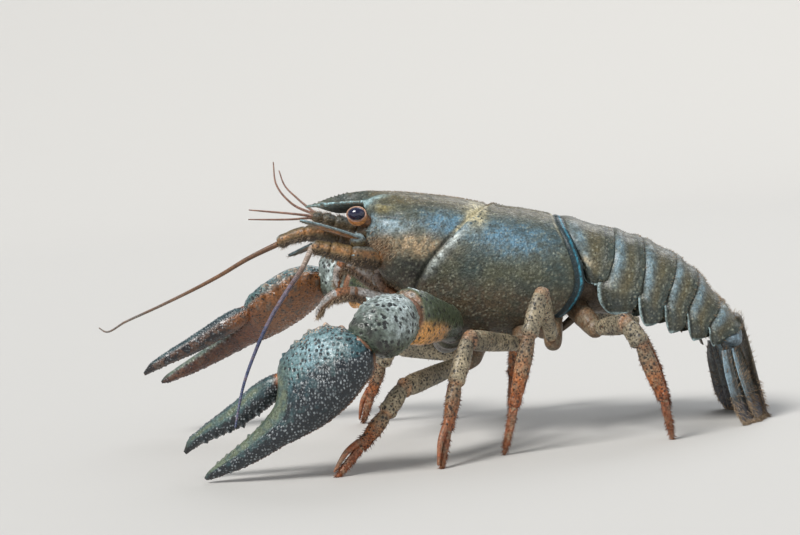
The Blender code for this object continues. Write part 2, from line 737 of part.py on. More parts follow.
def build_somite(number, parts):
    """One band of the abdomen: an arch that ends each side in a hanging, rounded lobe.

    Down the flank d runs from 0 at the back line to 1 at the hinge and 2 at the lobe's tip. The arch
    is hinge + (back - hinge) cos(d pi / 2)^(2/n), with the half width times sin(d pi / 2)^(2/n).
    """
    front, rear = BAND_SEAMS[number], BAND_SEAMS[number + 1]
    (lobe_front, lobe_rear), tip = LOBES[number]
    rows = np.linspace(0.0, 1.0, 6)[:, None]
    d = np.array([0.0, 0.3, 0.56, 0.8, 1.0, 1.3, 1.6, 1.85, 2.0])[None, :]
    arch = np.clip(d, 0.0, 1.0) * math.pi / 2
    hang = np.clip(d - 1.0, 0.0, 1.0)
    power = 2 / 2.3
    back = np.array(front[0]) * (1 - rows) + np.array(rear[0]) * rows
    hinge = np.array(front[1]) * (1 - rows) + np.array(rear[1]) * rows
    rise = unit(back - hinge)
    lift = 0.35 * np.sin(math.pi * rows) - 0.6 * np.exp(-((rows / 0.16) ** 2))
    back = back + rise * lift
    half = front[2] * (1 - rows) + rear[2] * rows + 0.8 * lift
    cosine = np.cos(arch) ** power
    x = hinge[:, :1] + (back - hinge)[:, :1] * cosine
    z = hinge[:, 1:] + (back - hinge)[:, 1:] * cosine
    y = half * np.sin(arch) ** power - 0.7 * hang**2
    along = unit(np.array([rear[1][0] - front[1][0], rear[1][1] - front[1][1]]))
    x = x + along[0] * BAND_GAP / 2 * (1 - 2 * rows)
    z = z + along[1] * BAND_GAP / 2 * (1 - 2 * rows)
    bulge = np.sin(np.clip(hang * 2, 0.0, 1.0) * math.pi / 2)
    lobe_x = lobe_front + BAND_GAP / 2 + (lobe_rear - lobe_front - BAND_GAP) * rows
    x = x + (lobe_x - x) * bulge
    middle = x.mean(axis=0)
    x = x + (middle + (tip[0] - middle) * hang**2 - x) * 0.62 * hang**3
    z = z + (tip[1] - hinge[:, 1:]) * hang
    outer = np.stack([x, -y, z], axis=-1)
    belly = hinge - rise * BELLY_DEPTHS[number]
    shift = BAND_GAP / 2 * (1 - 2 * rows)
    tucked = d <= 1.0
    inner_y = np.where(tucked, (half - PLEURON_THICKNESS - 1.2) * np.clip(d, 0.0, 1.0), y - PLEURON_THICKNESS)
    inner_x = np.where(tucked, belly[:, :1] + along[0] * shift, x)
    inner_z = np.where(tucked, belly[:, 1:] + along[1] * shift, np.minimum(z, belly[:, 1:] - 0.1 - 0.3 * hang))
    inner = np.stack([inner_x, -inner_y, inner_z], axis=-1)
    outer = np.concatenate([outer[:, :0:-1], mirrored(outer)], axis=1)
    inner = np.concatenate([inner[:, :0:-1], mirrored(inner)], axis=1)
    return slab(f"somite_{number + 1}", outer, inner, TAIL, parts)


def build_swimmerets(number, pieces):
    """Each side a short stem from the belly and two leaves that hang down and back from it."""
    front, rear = (np.array(seam[1]) for seam in BAND_SEAMS[number : number + 2])
    middle = (front + rear) / 2
    made = []
    for side in (-1, 1):
        stem_y = side * sum(SWIMMERET_SIDES) / 2
        top = np.array([middle[0], stem_y, middle[1] - BELLY_DEPTHS[number] + 0.8])
        low = top + (0.3, 0.0, -SWIMMERET_STEM)
        rings, _ = rings_along((top, (top + low) / 2, low), (0.8, 0.75, 0.6), (1.6, 1.6, 1.5), 8)
        made.append(loft("stem", rings, None, pieces))
        for y in SWIMMERET_SIDES:
            root = np.array([low[0], side * y, low[2] + 0.7])
            tip = root + (1.2, side * 0.1, -SWIMMERET_LEAF)
            leaf = dict(root=root, tip=tip, half=1.0, thick=0.6, across=(0.0, 1.0, 0.0))
            made.append(blade("leaf", **leaf, finish=None, collection=pieces, rows=5, columns=3))
    return made


def blade(name, root, tip, half, thick, across, finish, collection, rows=7, columns=7, outline=BLADE_OUTLINE):
    """A thin rounded plate from its root to its tip, ribbed along the middle."""
    root = np.asarray(root, float)
    tip = np.asarray(tip, float)
    along = unit(tip - root)
    across = unit(np.asarray(across, float) - along * np.dot(across, along))
    face = np.cross(along, across)
    share = np.linspace(0.0, 1.0, rows)[:, None]
    side = np.linspace(-1.0, 1.0, columns)[None, :]
    width = half * through(share, outline)
    depth = thick / 2 * (1.15 - 0.45 * share) * (1 - 0.35 * np.abs(side) ** 3)
    rib = 0.35 * thick * np.exp(-((side / 0.22) ** 2)) * (1 - share)
    length = np.linalg.norm(tip - root)
    centre = root + along * (share * length)[..., None] + across * (side * width)[..., None]
    curl = -0.10 * half * side**2
    outer = centre + face * (curl + depth + rib)[..., None]
    inner = centre + face * (curl - depth)[..., None]
    return slab(name, outer, inner, finish, collection)


def claw_frame(joint, tip, across, hand, breadth):
    """Directions along, across and out of the claw's upper face, each as long as its own scale."""
    along = unit(tip - joint)
    across = unit(across - along * np.dot(across, along))
    dorsal = np.cross(across, along) * hand
    return along * np.linalg.norm(tip - joint) / CLAW_LENGTH, across * breadth, dorsal * breadth


def claw_rings(rows, joint, frame, sides):
    along, across, dorsal = frame
    rows = np.asarray(rows)
    side, up = circle(sides, 2.2)
    middle = (rows[:, 1] + rows[:, 2]) / 2
    half = (rows[:, 2] - rows[:, 1]) / 2
    b = middle[:, None] + half[:, None] * up[None, :]
    n = rows[:, 3][:, None] * side[None, :]
    a = rows[:, 0][:, None] + 0 * b
    return joint + a[..., None] * along + b[..., None] * across + n[..., None] * dorsal


def build_claw(side_name, joint, tip, across, hand, breadth, parts, pieces, cutters):
    frame = claw_frame(joint, tip, across, hand, breadth)
    along, over, dorsal = frame
    palm = loft(f"cheliped_{side_name}_palm", claw_rings(PALM_ROWS, joint, frame, 14), CLAW, parts)
    cutter = swollen(palm, cutters)
    finger = loft(f"cheliped_{side_name}_finger", claw_rings(DACTYL_ROWS, joint, frame, 10), CLAW, parts)
    carve(finger, cutter)
    added = []
    for number, a in enumerate(np.linspace(3.4, 16.2, 7)):
        inner_edge = through(a, PALM_ROWS)[1]
        foot = joint + along * a + over * (inner_edge - 0.7) + dorsal * (1.2 if number % 2 else -1.0)
        added.append(cone(foot, foot + over * 1.7 + dorsal * (0.3 if number % 2 else -0.3), 0.75, pieces))
    for a in (24.0, 27.5, 31.5, 35.5):
        inner_edge = through(a, PALM_ROWS)[1]
        foot = joint + along * a + over * (inner_edge - 0.5)
        added.append(cone(foot, foot + over * 1.1, 0.6, pieces))
    fuse(palm, added)
    stand_on_floor(palm)
    return cutter


def build_arm(side_name, arm, carpus, joint, tip, parts, thorax_cutter, palm_cutter):
    rows = np.asarray(arm + carpus[1:])
    wrist = unit(tip - joint)
    path = np.concatenate([rows[:, :3], [joint - wrist * (1.0 + GAP)]])
    heights = np.append(rows[:, 3], 3.0)
    widths = np.append(rows[:, 4], 2.9)
    rings, tangents = rings_along(path, heights, widths, 12, last=wrist)
    arm_rings, carpus_rings = parted(rings, tangents, len(arm) - 1)
    upper = loft(f"cheliped_{side_name}_arm", arm_rings, CLAW, parts)
    carve(upper, thorax_cutter)
    lower = loft(f"cheliped_{side_name}_carpus", carpus_rings, CLAW, parts)
    carve(lower, palm_cutter)


def build_leg(name, joints, parts, pieces, thorax_cutter):
    joints = np.asarray(joints, float).reshape(-1, 3)
    rows = np.asarray(LEG_SHAPE)
    index = rows[:, 0].astype(int)
    share = rows[:, 1][:, None]
    after = np.minimum(index + 1, len(joints) - 1)
    path = joints[index] * (1 - share) + joints[after] * share
    knee = int(np.flatnonzero((index == KNEE) & (rows[:, 1] == 0.0))[0])
    before = unit(joints[KNEE] - joints[KNEE - 1])
    beyond = unit(joints[KNEE + 1] - joints[KNEE])
    half_bend = math.acos(float(np.dot(before, beyond))) / 2
    clear = rows[knee, 2] * math.tan(half_bend) + 0.6
    path[knee - 1] = joints[KNEE] - before * clear
    path[knee + 1] = joints[KNEE] + beyond * clear
    rings, tangents = rings_along(path, rows[:, 2], rows[:, 3], 10)
    upper_rings, lower_rings = parted(rings, tangents, knee)
    upper = loft(name + "_upper", upper_rings, LIMB, parts)
    carve(upper, thorax_cutter)
    lower = loft(name + "_lower", lower_rings, LIMB, parts)
    if name[:5] in PINCER_LEGS:
        heel, toe = joints[4], joints[5]
        along = unit(toe - heel)
        front = unit(np.cross(np.cross(along, (0.0, 0.0, 1.0)), along))
        start = heel - along * 1.2 + front * 0.9
        middle = heel + along * 2.2 + front * 1.75
        end = toe - along * 0.6 + front * 1.25
        finger = whip("finger", ((*start, 0.7), (*middle, 0.62), (*end, 0.3)), 2.0, None, pieces)
        fuse(lower, [finger])
    stand_on_floor(lower)


def build_eye(name, side, parts, cutter):
    centre = np.array(EYE["centre"]) * (1, side, 1)
    root = np.array(EYE["root"]) * (1, side, 1)
    axis = unit(centre - root)
    reach = np.linalg.norm(centre - root)
    radius = EYE["radius"]
    stations = np.array([0.0, 0.3 * reach, 0.6 * reach])
    ball = np.linspace(-0.9, 0.985, 6)
    path = root + axis * np.concatenate([stations, reach + ball * radius])[:, None]
    radii = np.concatenate([np.full(3, EYE["stalk"]), radius * np.sqrt(1 - ball**2)])
    radii[3] = EYE["stalk"] * 1.02
    rings, _ = rings_along(path, radii, radii, 12)
    eye = loft(name, rings, EYE_BLACK, parts)
    carve(eye, cutter)


def build_feelers(parts, pieces, cutters, head_cutter):
    for side_name, side, peduncle, antenna, scale, whips in (
        ("left", -1, PEDUNCLE_LEFT, ANTENNA_LEFT, SCALE_LEFT, ANTENNULE_LEFT_WHIPS),
        ("right", 1, PEDUNCLE_RIGHT, ANTENNA_RIGHT, SCALE_RIGHT, ANTENNULE_RIGHT_WHIPS),
    ):
        rows = np.asarray(peduncle)
        rings, _ = rings_along(rows[:, :3], rows[:, 3], rows[:, 3], 10)
        base = loft(f"antenna_base_{side_name}", rings, FEELER, parts)
        carve(base, head_cutter)
        base_cutter = swollen(base, cutters)
        feeler = whip(f"antenna_{side_name}", antenna, 2.6, FEELER, parts)
        carve(feeler, base_cutter)
        plate = blade(f"antennal_scale_{side_name}", **scale, finish=SHELL, collection=parts, rows=6, columns=5)
        carve(plate, base_cutter)
        stalk_rows = np.array(ANTENNULE_STALK) * (1, side, 1, 1)
        stalk_rings, _ = rings_along(stalk_rows[:, :3], stalk_rows[:, 3], stalk_rows[:, 3], 8)
        stalk = loft(f"antennule_{side_name}", stalk_rings, FEELER, parts)
        fuse(stalk, [whip("whip", row, 1.8, None, pieces) for row in whips])
        carve(stalk, head_cutter)
        build_eye(f"eye_{side_name}", side, parts, head_cutter)


def build_maxilliped(side_name, rows, parts, head_cutter, thorax_cutter):
    rows = np.asarray(rows)
    rings, tangents = rings_along(rows[:, :3], rows[:, 3], rows[:, 4], 10)
    near, far = parted(rings, tangents, MAXILLIPED_SPLIT)
    base = loft(f"maxilliped_{side_name}_base", near, LIMB, parts)
    carve(base, head_cutter)
    carve(base, thorax_cutter)
    loft(f"maxilliped_{side_name}_tip", far, LIMB, parts)


def build_tail(parts, pieces, cutters, thorax_cutter):
    for number in range(len(LOBES)):
        somite = build_somite(number, parts)
        if number == 0:
            carve(somite, thorax_cutter)
            first_cutter = swollen(somite, cutters)
            rods = [np.array(ROD) * (1, side, 1, 1) for side in (-1, 1)]
            fuse(somite, [whip("rod", rod, 2.4, None, pieces) for rod in rods], "MANIFOLD")
        if number == 1:
            carve(somite, first_cutter)
        if number in SWIMMERET_BANDS:
            fuse(somite, build_swimmerets(number, pieces), "MANIFOLD")
    last_cutter = swollen(somite, cutters)
    telson = blade("telson", **TELSON, finish=TAIL, collection=parts, rows=9, outline=TELSON_OUTLINE)
    carve(telson, last_cutter)
    stand_on_floor(telson)
    for side_name, side in (("left", -1), ("right", 1)):
        flip = np.array([1, side, 1])
        foot = np.array(UROPOD_FOOT) * flip
        rings, _ = rings_along(foot, (1.5, 1.8, 1.4), (2.0, 2.3, 1.8), 10)
        base = loft(f"uropod_{side_name}_base", rings, TAIL, parts)
        carve(base, swollen(somite, cutters, by=0.0))
        base.data.transform(Matrix.Translation(np.array(UROPOD_CLEAR) * MM))
        inner, outer = (
            blade(
                f"uropod_{side_name}_{kind}",
                np.array(size["root"]) * flip,
                np.array(size["tip"]) * flip,
                size["half"],
                size["thick"],
                np.array(size["across"]) * flip * -side,
                TAIL,
                parts,
            )
            for kind, size in (("inner", INNER_BLADE), ("outer", OUTER_BLADE))
        )
        carve(outer, swollen(inner, cutters))
        stand_on_floor(inner)
        stand_on_floor(outer)


clear_scene()
crayfish = new_collection("noble_crayfish")
loose_pieces = new_collection("pieces")
cutting_shapes = new_collection("cutters")
head_clear = build_head(crayfish, loose_pieces, cutting_shapes)
thorax_clear = build_thorax(crayfish, loose_pieces, cutting_shapes)
build_tail(crayfish, loose_pieces, cutting_shapes, thorax_clear)
build_feelers(crayfish, loose_pieces, cutting_shapes, head_clear)
build_maxilliped("left", MAXILLIPED_LEFT, crayfish, head_clear, thorax_clear)
build_maxilliped("right", MAXILLIPED_RIGHT, crayfish, head_clear, thorax_clear)
for side_name, arm, carpus, joint, tip, across, hand, breadth in (
    ("left", ARM_LEFT, CARPUS_LEFT, PALM_JOINT_LEFT, CLAW_TIP_LEFT, CLAW_ACROSS_LEFT, 1, 1.0),
    ("right", ARM_RIGHT, CARPUS_RIGHT, PALM_JOINT_RIGHT, CLAW_TIP_RIGHT, CLAW_ACROSS_RIGHT, -1, 0.88),
):
    palm_clear = build_claw(side_name, joint, tip, across, hand, breadth, crayfish, loose_pieces, cutting_shapes)
    build_arm(side_name, arm, carpus, joint, tip, crayfish, thorax_clear, palm_clear)
for leg_name, leg_joints in LEGS.items():
    build_leg(leg_name, leg_joints, crayfish, loose_pieces, thorax_clear)
for cutting_shape in list(cutting_shapes.objects):
    bpy.data.objects.remove(cutting_shape, do_unlink=True)
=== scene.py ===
import itertools
import math

import bpy
import numpy as np
from mathutils import Matrix, Vector


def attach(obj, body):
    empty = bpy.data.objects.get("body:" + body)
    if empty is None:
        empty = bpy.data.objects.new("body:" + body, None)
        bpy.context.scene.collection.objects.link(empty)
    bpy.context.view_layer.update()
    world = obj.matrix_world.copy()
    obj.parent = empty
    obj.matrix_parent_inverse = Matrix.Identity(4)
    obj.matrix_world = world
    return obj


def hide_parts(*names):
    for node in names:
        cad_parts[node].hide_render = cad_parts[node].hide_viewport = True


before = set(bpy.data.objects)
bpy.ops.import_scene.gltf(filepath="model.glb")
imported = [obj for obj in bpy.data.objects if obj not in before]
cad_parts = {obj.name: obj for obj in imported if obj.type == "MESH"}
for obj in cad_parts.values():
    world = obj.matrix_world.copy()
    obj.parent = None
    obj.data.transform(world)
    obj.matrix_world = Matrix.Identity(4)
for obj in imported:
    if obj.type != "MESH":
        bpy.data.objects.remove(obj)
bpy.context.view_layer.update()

# Camera, floor and light. The camera looks across the animal's left side from a little above, with
# a slight roll, over a pale bowl whose flat middle is the floor. Sizes in millimetres use the frame
# of the part's own drawing, whose bounding box has its middle at MIDDLE.
MM = 0.001
MIDDLE = np.array([3.67, -5.9, 0.0])
IMAGE_WIDTH = 800
SENSOR_WIDTH = 36.0
PIXEL_SIZE = 0.218
VIEW_DISTANCE = 480.0
VIEW_TILT = math.radians(4.0)
VIEW_ROLL = math.radians(4.0)
# The camera's place is in millimetres from the part's own origin, and the bowl's sizes are in metres.
VIEW_POINT = (-3.67, -472.93, 71.364)
FLAT_RADIUS = 0.95
BOWL_RADIUS = 2.3
BOWL_HEIGHT = 0.7
FLOOR_COLOUR = (0.60, 0.59, 0.57, 1.0)
FLOOR_ROUGHNESS = 0.75
SKY_COLOUR = (0.90, 0.95, 1.0, 1.0)
SKY_STRENGTH = 0.34
# The direction each light shines from, its power, its apparent width in degrees and its colour.
LIGHTS = {
    "key_light": ((-0.52, -0.50, 0.85), 3.0, 22.0, (1.0, 0.98, 0.95)),
    "fill_light": ((0.80, -0.60, 0.35), 0.35, 50.0, (0.93, 0.96, 1.0)),
    "rim_light": ((0.35, 0.75, 0.60), 0.7, 35.0, (0.95, 0.97, 1.0)),
}


def smooth_step(value):
    """0 below 0, 1 above 1, and 3 v^2 - 2 v^3 between."""
    value = np.clip(value, 0.0, 1.0)
    return value * value * (3 - 2 * value)


def aim_camera():
    """Axes of the view: forward tilts down, right and up turn about it by the roll."""
    forward = np.array([0.0, math.cos(VIEW_TILT), -math.sin(VIEW_TILT)])
    level = np.array([1.0, 0.0, 0.0])
    rise = np.array([0.0, math.sin(VIEW_TILT), math.cos(VIEW_TILT)])
    right = math.cos(VIEW_ROLL) * level - math.sin(VIEW_ROLL) * rise
    up = math.cos(VIEW_ROLL) * rise + math.sin(VIEW_ROLL) * level
    lens = bpy.data.cameras.new("camera")
    lens.sensor_width = SENSOR_WIDTH
    lens.lens = SENSOR_WIDTH * VIEW_DISTANCE / (PIXEL_SIZE * IMAGE_WIDTH)
    camera = bpy.data.objects.new("camera", lens)
    bpy.context.collection.objects.link(camera)
    axes = np.column_stack([right, up, -forward, np.array(VIEW_POINT) * MM])
    camera.matrix_world = Matrix([*axes.tolist(), [0.0, 0.0, 0.0, 1.0]])
    bpy.context.scene.camera = camera


def lay_floor(rings=60, sides=120):
    """A flat disc that turns up smoothly: z = height * smooth step of (r - flat) / (rim - flat)."""
    radius = np.linspace(0.0, BOWL_RADIUS, rings + 1)[1:]
    rise = BOWL_HEIGHT * smooth_step((radius - FLAT_RADIUS) / (BOWL_RADIUS - FLAT_RADIUS))
    angle = 2 * math.pi * np.arange(sides) / sides
    grid = np.stack(
        [radius[:, None] * np.cos(angle), radius[:, None] * np.sin(angle), rise[:, None] + 0 * angle], axis=-1
    )
    here = np.arange(rings * sides).reshape(rings, sides)
    after = np.roll(here, -1, axis=1)
    quads = np.stack([here[:-1], here[1:], after[1:], after[:-1]], axis=-1).reshape(-1, 4)
    fan = np.stack([np.full(sides, rings * sides), here[0], after[0]], axis=-1)
    mesh = bpy.data.meshes.new("studio_floor")
    points = np.concatenate([grid.reshape(-1, 3), [[0.0, 0.0, 0.0]]])
    mesh.from_pydata(points.tolist(), [], quads.tolist() + fan.tolist())
    mesh.shade_smooth()
    material = bpy.data.materials.new("pale_floor")
    material.use_nodes = True
    shader = material.node_tree.nodes["Principled BSDF"]
    shader.inputs["Base Color"].default_value = FLOOR_COLOUR
    shader.inputs["Roughness"].default_value = FLOOR_ROUGHNESS
    mesh.materials.append(material)
    floor = bpy.data.objects.new("studio_floor", mesh)
    bpy.context.collection.objects.link(floor)


def hang_light(name, direction, power, spread, colour):
    """A far soft light of a given apparent width, which shines from a direction onto the origin."""
    light = bpy.data.lights.new(name, "SUN")
    light.energy = power
    light.angle = math.radians(spread)
    light.color = colour
    lamp = bpy.data.objects.new(name, light)
    lamp.rotation_euler = Vector(direction).to_track_quat("Z", "Y").to_euler()
    bpy.context.collection.objects.link(lamp)


aim_camera()
lay_floor()
for light_name, setting in LIGHTS.items():
    hang_light(light_name, *setting)
sky = bpy.data.worlds.new("studio_air")
sky.use_nodes = True
sky.node_tree.nodes["Background"].inputs["Color"].default_value = SKY_COLOUR
sky.node_tree.nodes["Background"].inputs["Strength"].default_value = SKY_STRENGTH
bpy.context.scene.world = sky
bpy.context.scene.view_settings.view_transform = "Standard"

# Carapace: one hard calcified shield over head and thorax, with the beak between the eyes, the
# cervical groove across it, ridges behind the eyes and a smooth bead along its rear edge. It is one
# skin grown over plain lofts, and t runs back along it, h up, both tilted with the shield.
GROOVE_TOP = np.array([20.0, 0.0, 50.5])
SHELL_PITCH = math.radians(10.5)
# The shield as (t, top, half width, h where it is widest), its lower edge as (t, h), the lines of the
# face, the groove and the rear edge as (h, t), and the beak as (t, half width, edge, crest).
SHELL_ROWS = (
    (-27.0, -2.0, 6.4, -8.6),
    (-24.5, -0.4, 8.6, -9.0),
    (-20.0, 0.3, 10.6, -9.8),
    (-14.0, 0.5, 12.0, -11.0),
    (-7.0, 0.5, 13.1, -12.0),
    (0.0, 0.0, 13.9, -12.8),
    (8.0, -0.1, 14.7, -13.2),
    (15.0, -0.7, 14.5, -13.2),
    (22.0, -2.2, 13.2, -12.6),
)
SHELL_FLOOR = (
    (-27.0, -13.6),
    (-24.0, -17.0),
    (-20.0, -19.6),
    (-16.0, -21.6),
    (-13.0, -24.4),
    (-9.7, -27.6),
    (-4.0, -29.0),
    (1.3, -29.0),
    (6.0, -28.3),
    (12.0, -26.4),
    (19.2, -22.6),
    (22.0, -20.5),
)
FACE_EDGE = ((0.0, -26.6), (-5.0, -26.6), (-10.0, -25.4), (-14.3, -23.7), (-18.8, -20.4), (-23.0, -16.8))
GROOVE_EDGE = (
    (0.6, 0.2),
    (0.0, 0.0),
    (-1.2, -1.8),
    (-6.6, -7.0),
    (-10.6, -9.8),
    (-13.3, -11.6),
    (-15.7, -12.6),
    (-18.3, -13.6),
    (-21.5, -13.8),
    (-24.5, -12.4),
)
REAR_EDGE = (
    (0.0, 16.2),
    (-1.0, 16.3),
    (-5.6, 18.6),
    (-10.3, 20.8),
    (-14.6, 21.8),
    (-18.0, 21.0),
    (-21.0, 19.4),
    (-25.6, 14.0),
)
ROSTRUM_ROWS = (
    (-18.0, 4.0, -1.4, 0.2),
    (-20.0, 4.2, -1.6, 0.2),
    (-24.0, 4.7, -2.2, 0.0),
    (-27.0, 4.0, -2.6, -0.3),
    (-30.0, 3.2, -3.0, -1.0),
    (-33.0, 2.6, -3.6, -2.1),
    (-35.6, 2.1, -4.2, -3.3),
    (-37.0, 1.1, -4.6, -4.1),
    (-39.4, 0.35, -5.2, -4.9),
)
ROSTRUM_THICKNESS = 1.15
# Spines of the head as foot, tip and radius, and of the shoulder as a place, all in (t, y, h).
HEAD_SPINES = (
    ((-34.6, 1.6, -4.2), (-37.2, 2.6, -3.9), 0.6),
    ((-21.2, 7.3, -3.9), (-24.6, 7.5, -3.1), 0.9),
    ((-15.4, 8.4, -3.9), (-17.6, 8.8, -3.0), 0.7),
    ((-24.0, 8.3, -8.5), (-26.7, 8.9, -8.3), 0.7),
)
SHOULDER_SPINES = (
    (-8.4, 12.6, -9.4),
    (-7.2, 12.2, -7.4),
    (-10.2, 12.9, -12.0),
    (-11.0, 13.1, -14.4),
    (-6.0, 11.6, -5.6),
)
# Swellings and hollows of the skin as centre and reach in (t, y, h), and their height.
SHELL_SWELLINGS = (
    ((-22.6, 7.4, -3.5), (2.6, 1.4, 0.8), 0.95),
    ((-16.6, 8.8, -3.9), (1.9, 1.4, 0.8), 0.45),
    ((-20.6, 9.0, -6.7), (3.2, 4.0, 1.5), 0.35),
    ((-20.6, 8.2, -4.9), (4.2, 2.5, 0.55), -0.5),
    ((-26.2, 6.6, -5.7), (2.0, 3.0, 2.2), -0.9),
    ((-16.0, 12.0, -11.5), (5.0, 5.0, 3.0), 0.3),
    ((-12.6, 12.6, -15.8), (2.2, 4.0, 3.0), -0.35),
)
# Lines along the skin as (t, |y|): the furrow beside the back line, the ridge that runs back from
# the beak, and the beak's own edge.
FURROW_LINE = ((0.0, 3.6), (2.0, 3.2), (9.0, 2.2), (16.0, 3.6))
RIDGE_LINE = ((-30.0, 3.4), (-26.0, 4.4), (-18.0, 4.6))
BEAK_EDGE = ((-38.0, 1.2), (-33.0, 2.5), (-27.0, 3.9), (-24.0, 4.7))
BEAK_TEETH = 9
SHELL_VOXEL = 0.28
FLOOR_GAP = 0.02
TILE_MARGIN = 0.03
HAIR_PATCH = 0.003


def dye(red, green, blue):
    """Linear colour of a display colour given from 0 to 255."""
    display = np.array([red, green, blue]) / 255
    linear = np.where(display <= 0.04045, display / 12.92, ((display + 0.055) / 1.055) ** 2.4)
    return (*linear.tolist(), 1.0)


def through(x, rows):
    """Smooth curve through rows of (x, value, ...): cubic Hermite pieces, flat past both ends."""
    rows = np.asarray(rows, float)
    if rows[0, 0] > rows[-1, 0]:
        rows = rows[::-1]
    knots = rows[:, 0]
    values = rows[:, 1:]
    slopes = np.gradient(values, knots, axis=0)
    x = np.clip(np.asarray(x, float), knots[0], knots[-1])
    i = np.clip(np.searchsorted(knots, x, side="right") - 1, 0, len(knots) - 2)
    step = (knots[i + 1] - knots[i])[..., None]
    s = (x - knots[i])[..., None] / step
    result = (
        (1 + 2 * s) * (1 - s) ** 2 * values[i]
        + s * (1 - s) ** 2 * step * slopes[i]
        + s**2 * (3 - 2 * s) * values[i + 1]
        + s**2 * (s - 1) * step * slopes[i + 1]
    )
    return result[..., 0] if values.shape[1] == 1 else result


def unit(vector):
    """Each vector divided by its own length."""
    vector = np.asarray(vector, float)
    return vector / np.maximum(np.linalg.norm(vector, axis=-1, keepdims=True), 1e-12)


def bell(value, width):
    """exp(-(value / width)^2)."""
    return np.exp(-((value / width) ** 2))


def outward(points, faces):
    """The faces turned to point out: reversed where the enclosed volume comes out negative."""
    a, b, c = np.moveaxis(points[faces], 1, 0)
    return faces if np.einsum("ij,ij->", a, np.cross(b, c)) > 0 else faces[:, ::-1]


def split_quads(a, b, c, d):
    """Two triangles for each quad with the corners a, b, c, d: first all (a, b, c), then all (a, c, d)."""
    halves = (np.stack([a, b, c], axis=-1), np.stack([a, c, d], axis=-1))
    return np.concatenate([half.reshape(-1, 3) for half in halves])


def closed_tube(rings):
    """Triangles between the rings of a (rows, columns, 3) grid, and a fan to the mean of each end."""
    rows, columns, _ = rings.shape
    points = np.concatenate([rings.reshape(-1, 3), rings[[0, -1]].mean(axis=1)])
    here = np.arange(rows * columns).reshape(rows, columns)
    after = np.roll(here, -1, axis=1)
    pole = np.full(columns, rows * columns)
    bands = (
        split_quads(here[:-1], after[:-1], after[1:], here[1:]),
        np.stack([pole, after[0], here[0]], axis=-1),
        np.stack([pole + 1, here[-1], after[-1]], axis=-1),
    )
    return points, outward(points, np.concatenate(bands))


def closed_sheet(outer, inner):
    """Triangles over two grids that face one another and round the rim between them."""
    rows, columns, _ = outer.shape
    here = np.arange(rows * columns).reshape(rows, columns)
    upper = split_quads(here[:-1, :-1], here[:-1, 1:], here[1:, 1:], here[1:, :-1])
    rim = np.concatenate([here[0, :-1], here[:-1, -1], here[-1, :0:-1], here[:0:-1, 0]])
    after = np.roll(rim, -1)
    size = rows * columns
    wall = split_quads(after, rim, rim + size, after + size)
    faces = np.concatenate([upper, upper[:, ::-1] + size, wall])
    points = np.concatenate([outer.reshape(-1, 3), inner.reshape(-1, 3)])
    return points, outward(points, faces)


def joined(shells):
    """Shells of (points, faces) put together in one pair of arrays."""
    starts = np.cumsum([0] + [len(points) for points, _ in shells[:-1]])
    points = np.concatenate([points for points, _ in shells])
    return points, np.concatenate([faces + start for (_, faces), start in zip(shells, starts)])


def circle(sides, power=2.0):
    """Points round a superellipse of half sizes 1: (side, top) of each, from the top round."""
    angle = 2 * math.pi * np.arange(sides) / sides
    across = np.sign(np.sin(angle)) * np.abs(np.sin(angle)) ** (2 / power)
    up = np.sign(np.cos(angle)) * np.abs(np.cos(angle)) ** (2 / power)
    return across, up


def rings_along(path, heights, widths, sides, top_near=(0.0, 0.0, 1.0), power=2.0):
    """Superellipses square to a path, of the given half sizes, their top towards a given direction."""
    path = np.asarray(path, float)
    steps = unit(np.diff(path, axis=0))
    tangents = np.concatenate([steps[:1], unit(steps[1:] + steps[:-1]), steps[-1:]])
    side = unit(np.cross(tangents, top_near))
    top = np.cross(side, tangents)
    across, up = circle(sides, power)
    return (
        path[:, None, :]
        + side[:, None, :] * across[None, :, None] * np.broadcast_to(widths, len(path))[:, None, None]
        + top[:, None, :] * up[None, :, None] * np.broadcast_to(heights, len(path))[:, None, None]
    )


def spike(foot, tip, radius, sides=12):
    """A spine: round rings whose radius falls as (1 - s)^0.8 from the sunk foot to the tip."""
    share = np.linspace(0.0, 0.97, 8)
    path = np.asarray(foot) + (np.asarray(tip) - np.asarray(foot)) * share[:, None]
    size = radius * (1 - share) ** 0.8
    return closed_tube(rings_along(path, size, size, sides, top_near=(0.31, 0.87, 0.39)))


def normals_of(points, faces):
    """Unit normal at each point: the sum of the cross products of its triangles' sides."""
    corner = points[faces]
    cross = np.cross(corner[:, 1] - corner[:, 0], corner[:, 2] - corner[:, 0])
    total = [np.bincount(faces.ravel(), np.repeat(cross[:, k], 3), len(points)) for k in range(3)]
    return unit(np.stack(total, axis=-1))


def cells(points, size, seed=0.0):
    """Distance to the nearest of centres drawn one in each cube of a lattice, and that centre's draw.

    A cube's three draws are the fractions of large sines of its place, and its centre stays at least
    0.15 of its size inside it.
    """
    scaled = points / size
    base = np.floor(scaled)
    nearest = np.full(len(points), 9.0)
    drawn = np.zeros(len(points))
    stir = np.array([[127.1, 269.5, 113.5], [311.7, 183.3, 271.9], [74.7, 246.1, 124.6]])
    for offset in itertools.product((-1, 0, 1), repeat=3):
        cube = base + offset
        draw = np.sin(cube @ stir + seed) * 43758.5453
        draw -= np.floor(draw)
        distance = np.linalg.norm(cube + 0.15 + 0.7 * draw - scaled, axis=1)
        closer = distance < nearest
        nearest = np.where(closer, distance, nearest)
        drawn = np.where(closer, draw[:, 0], drawn)
    return nearest * size, drawn


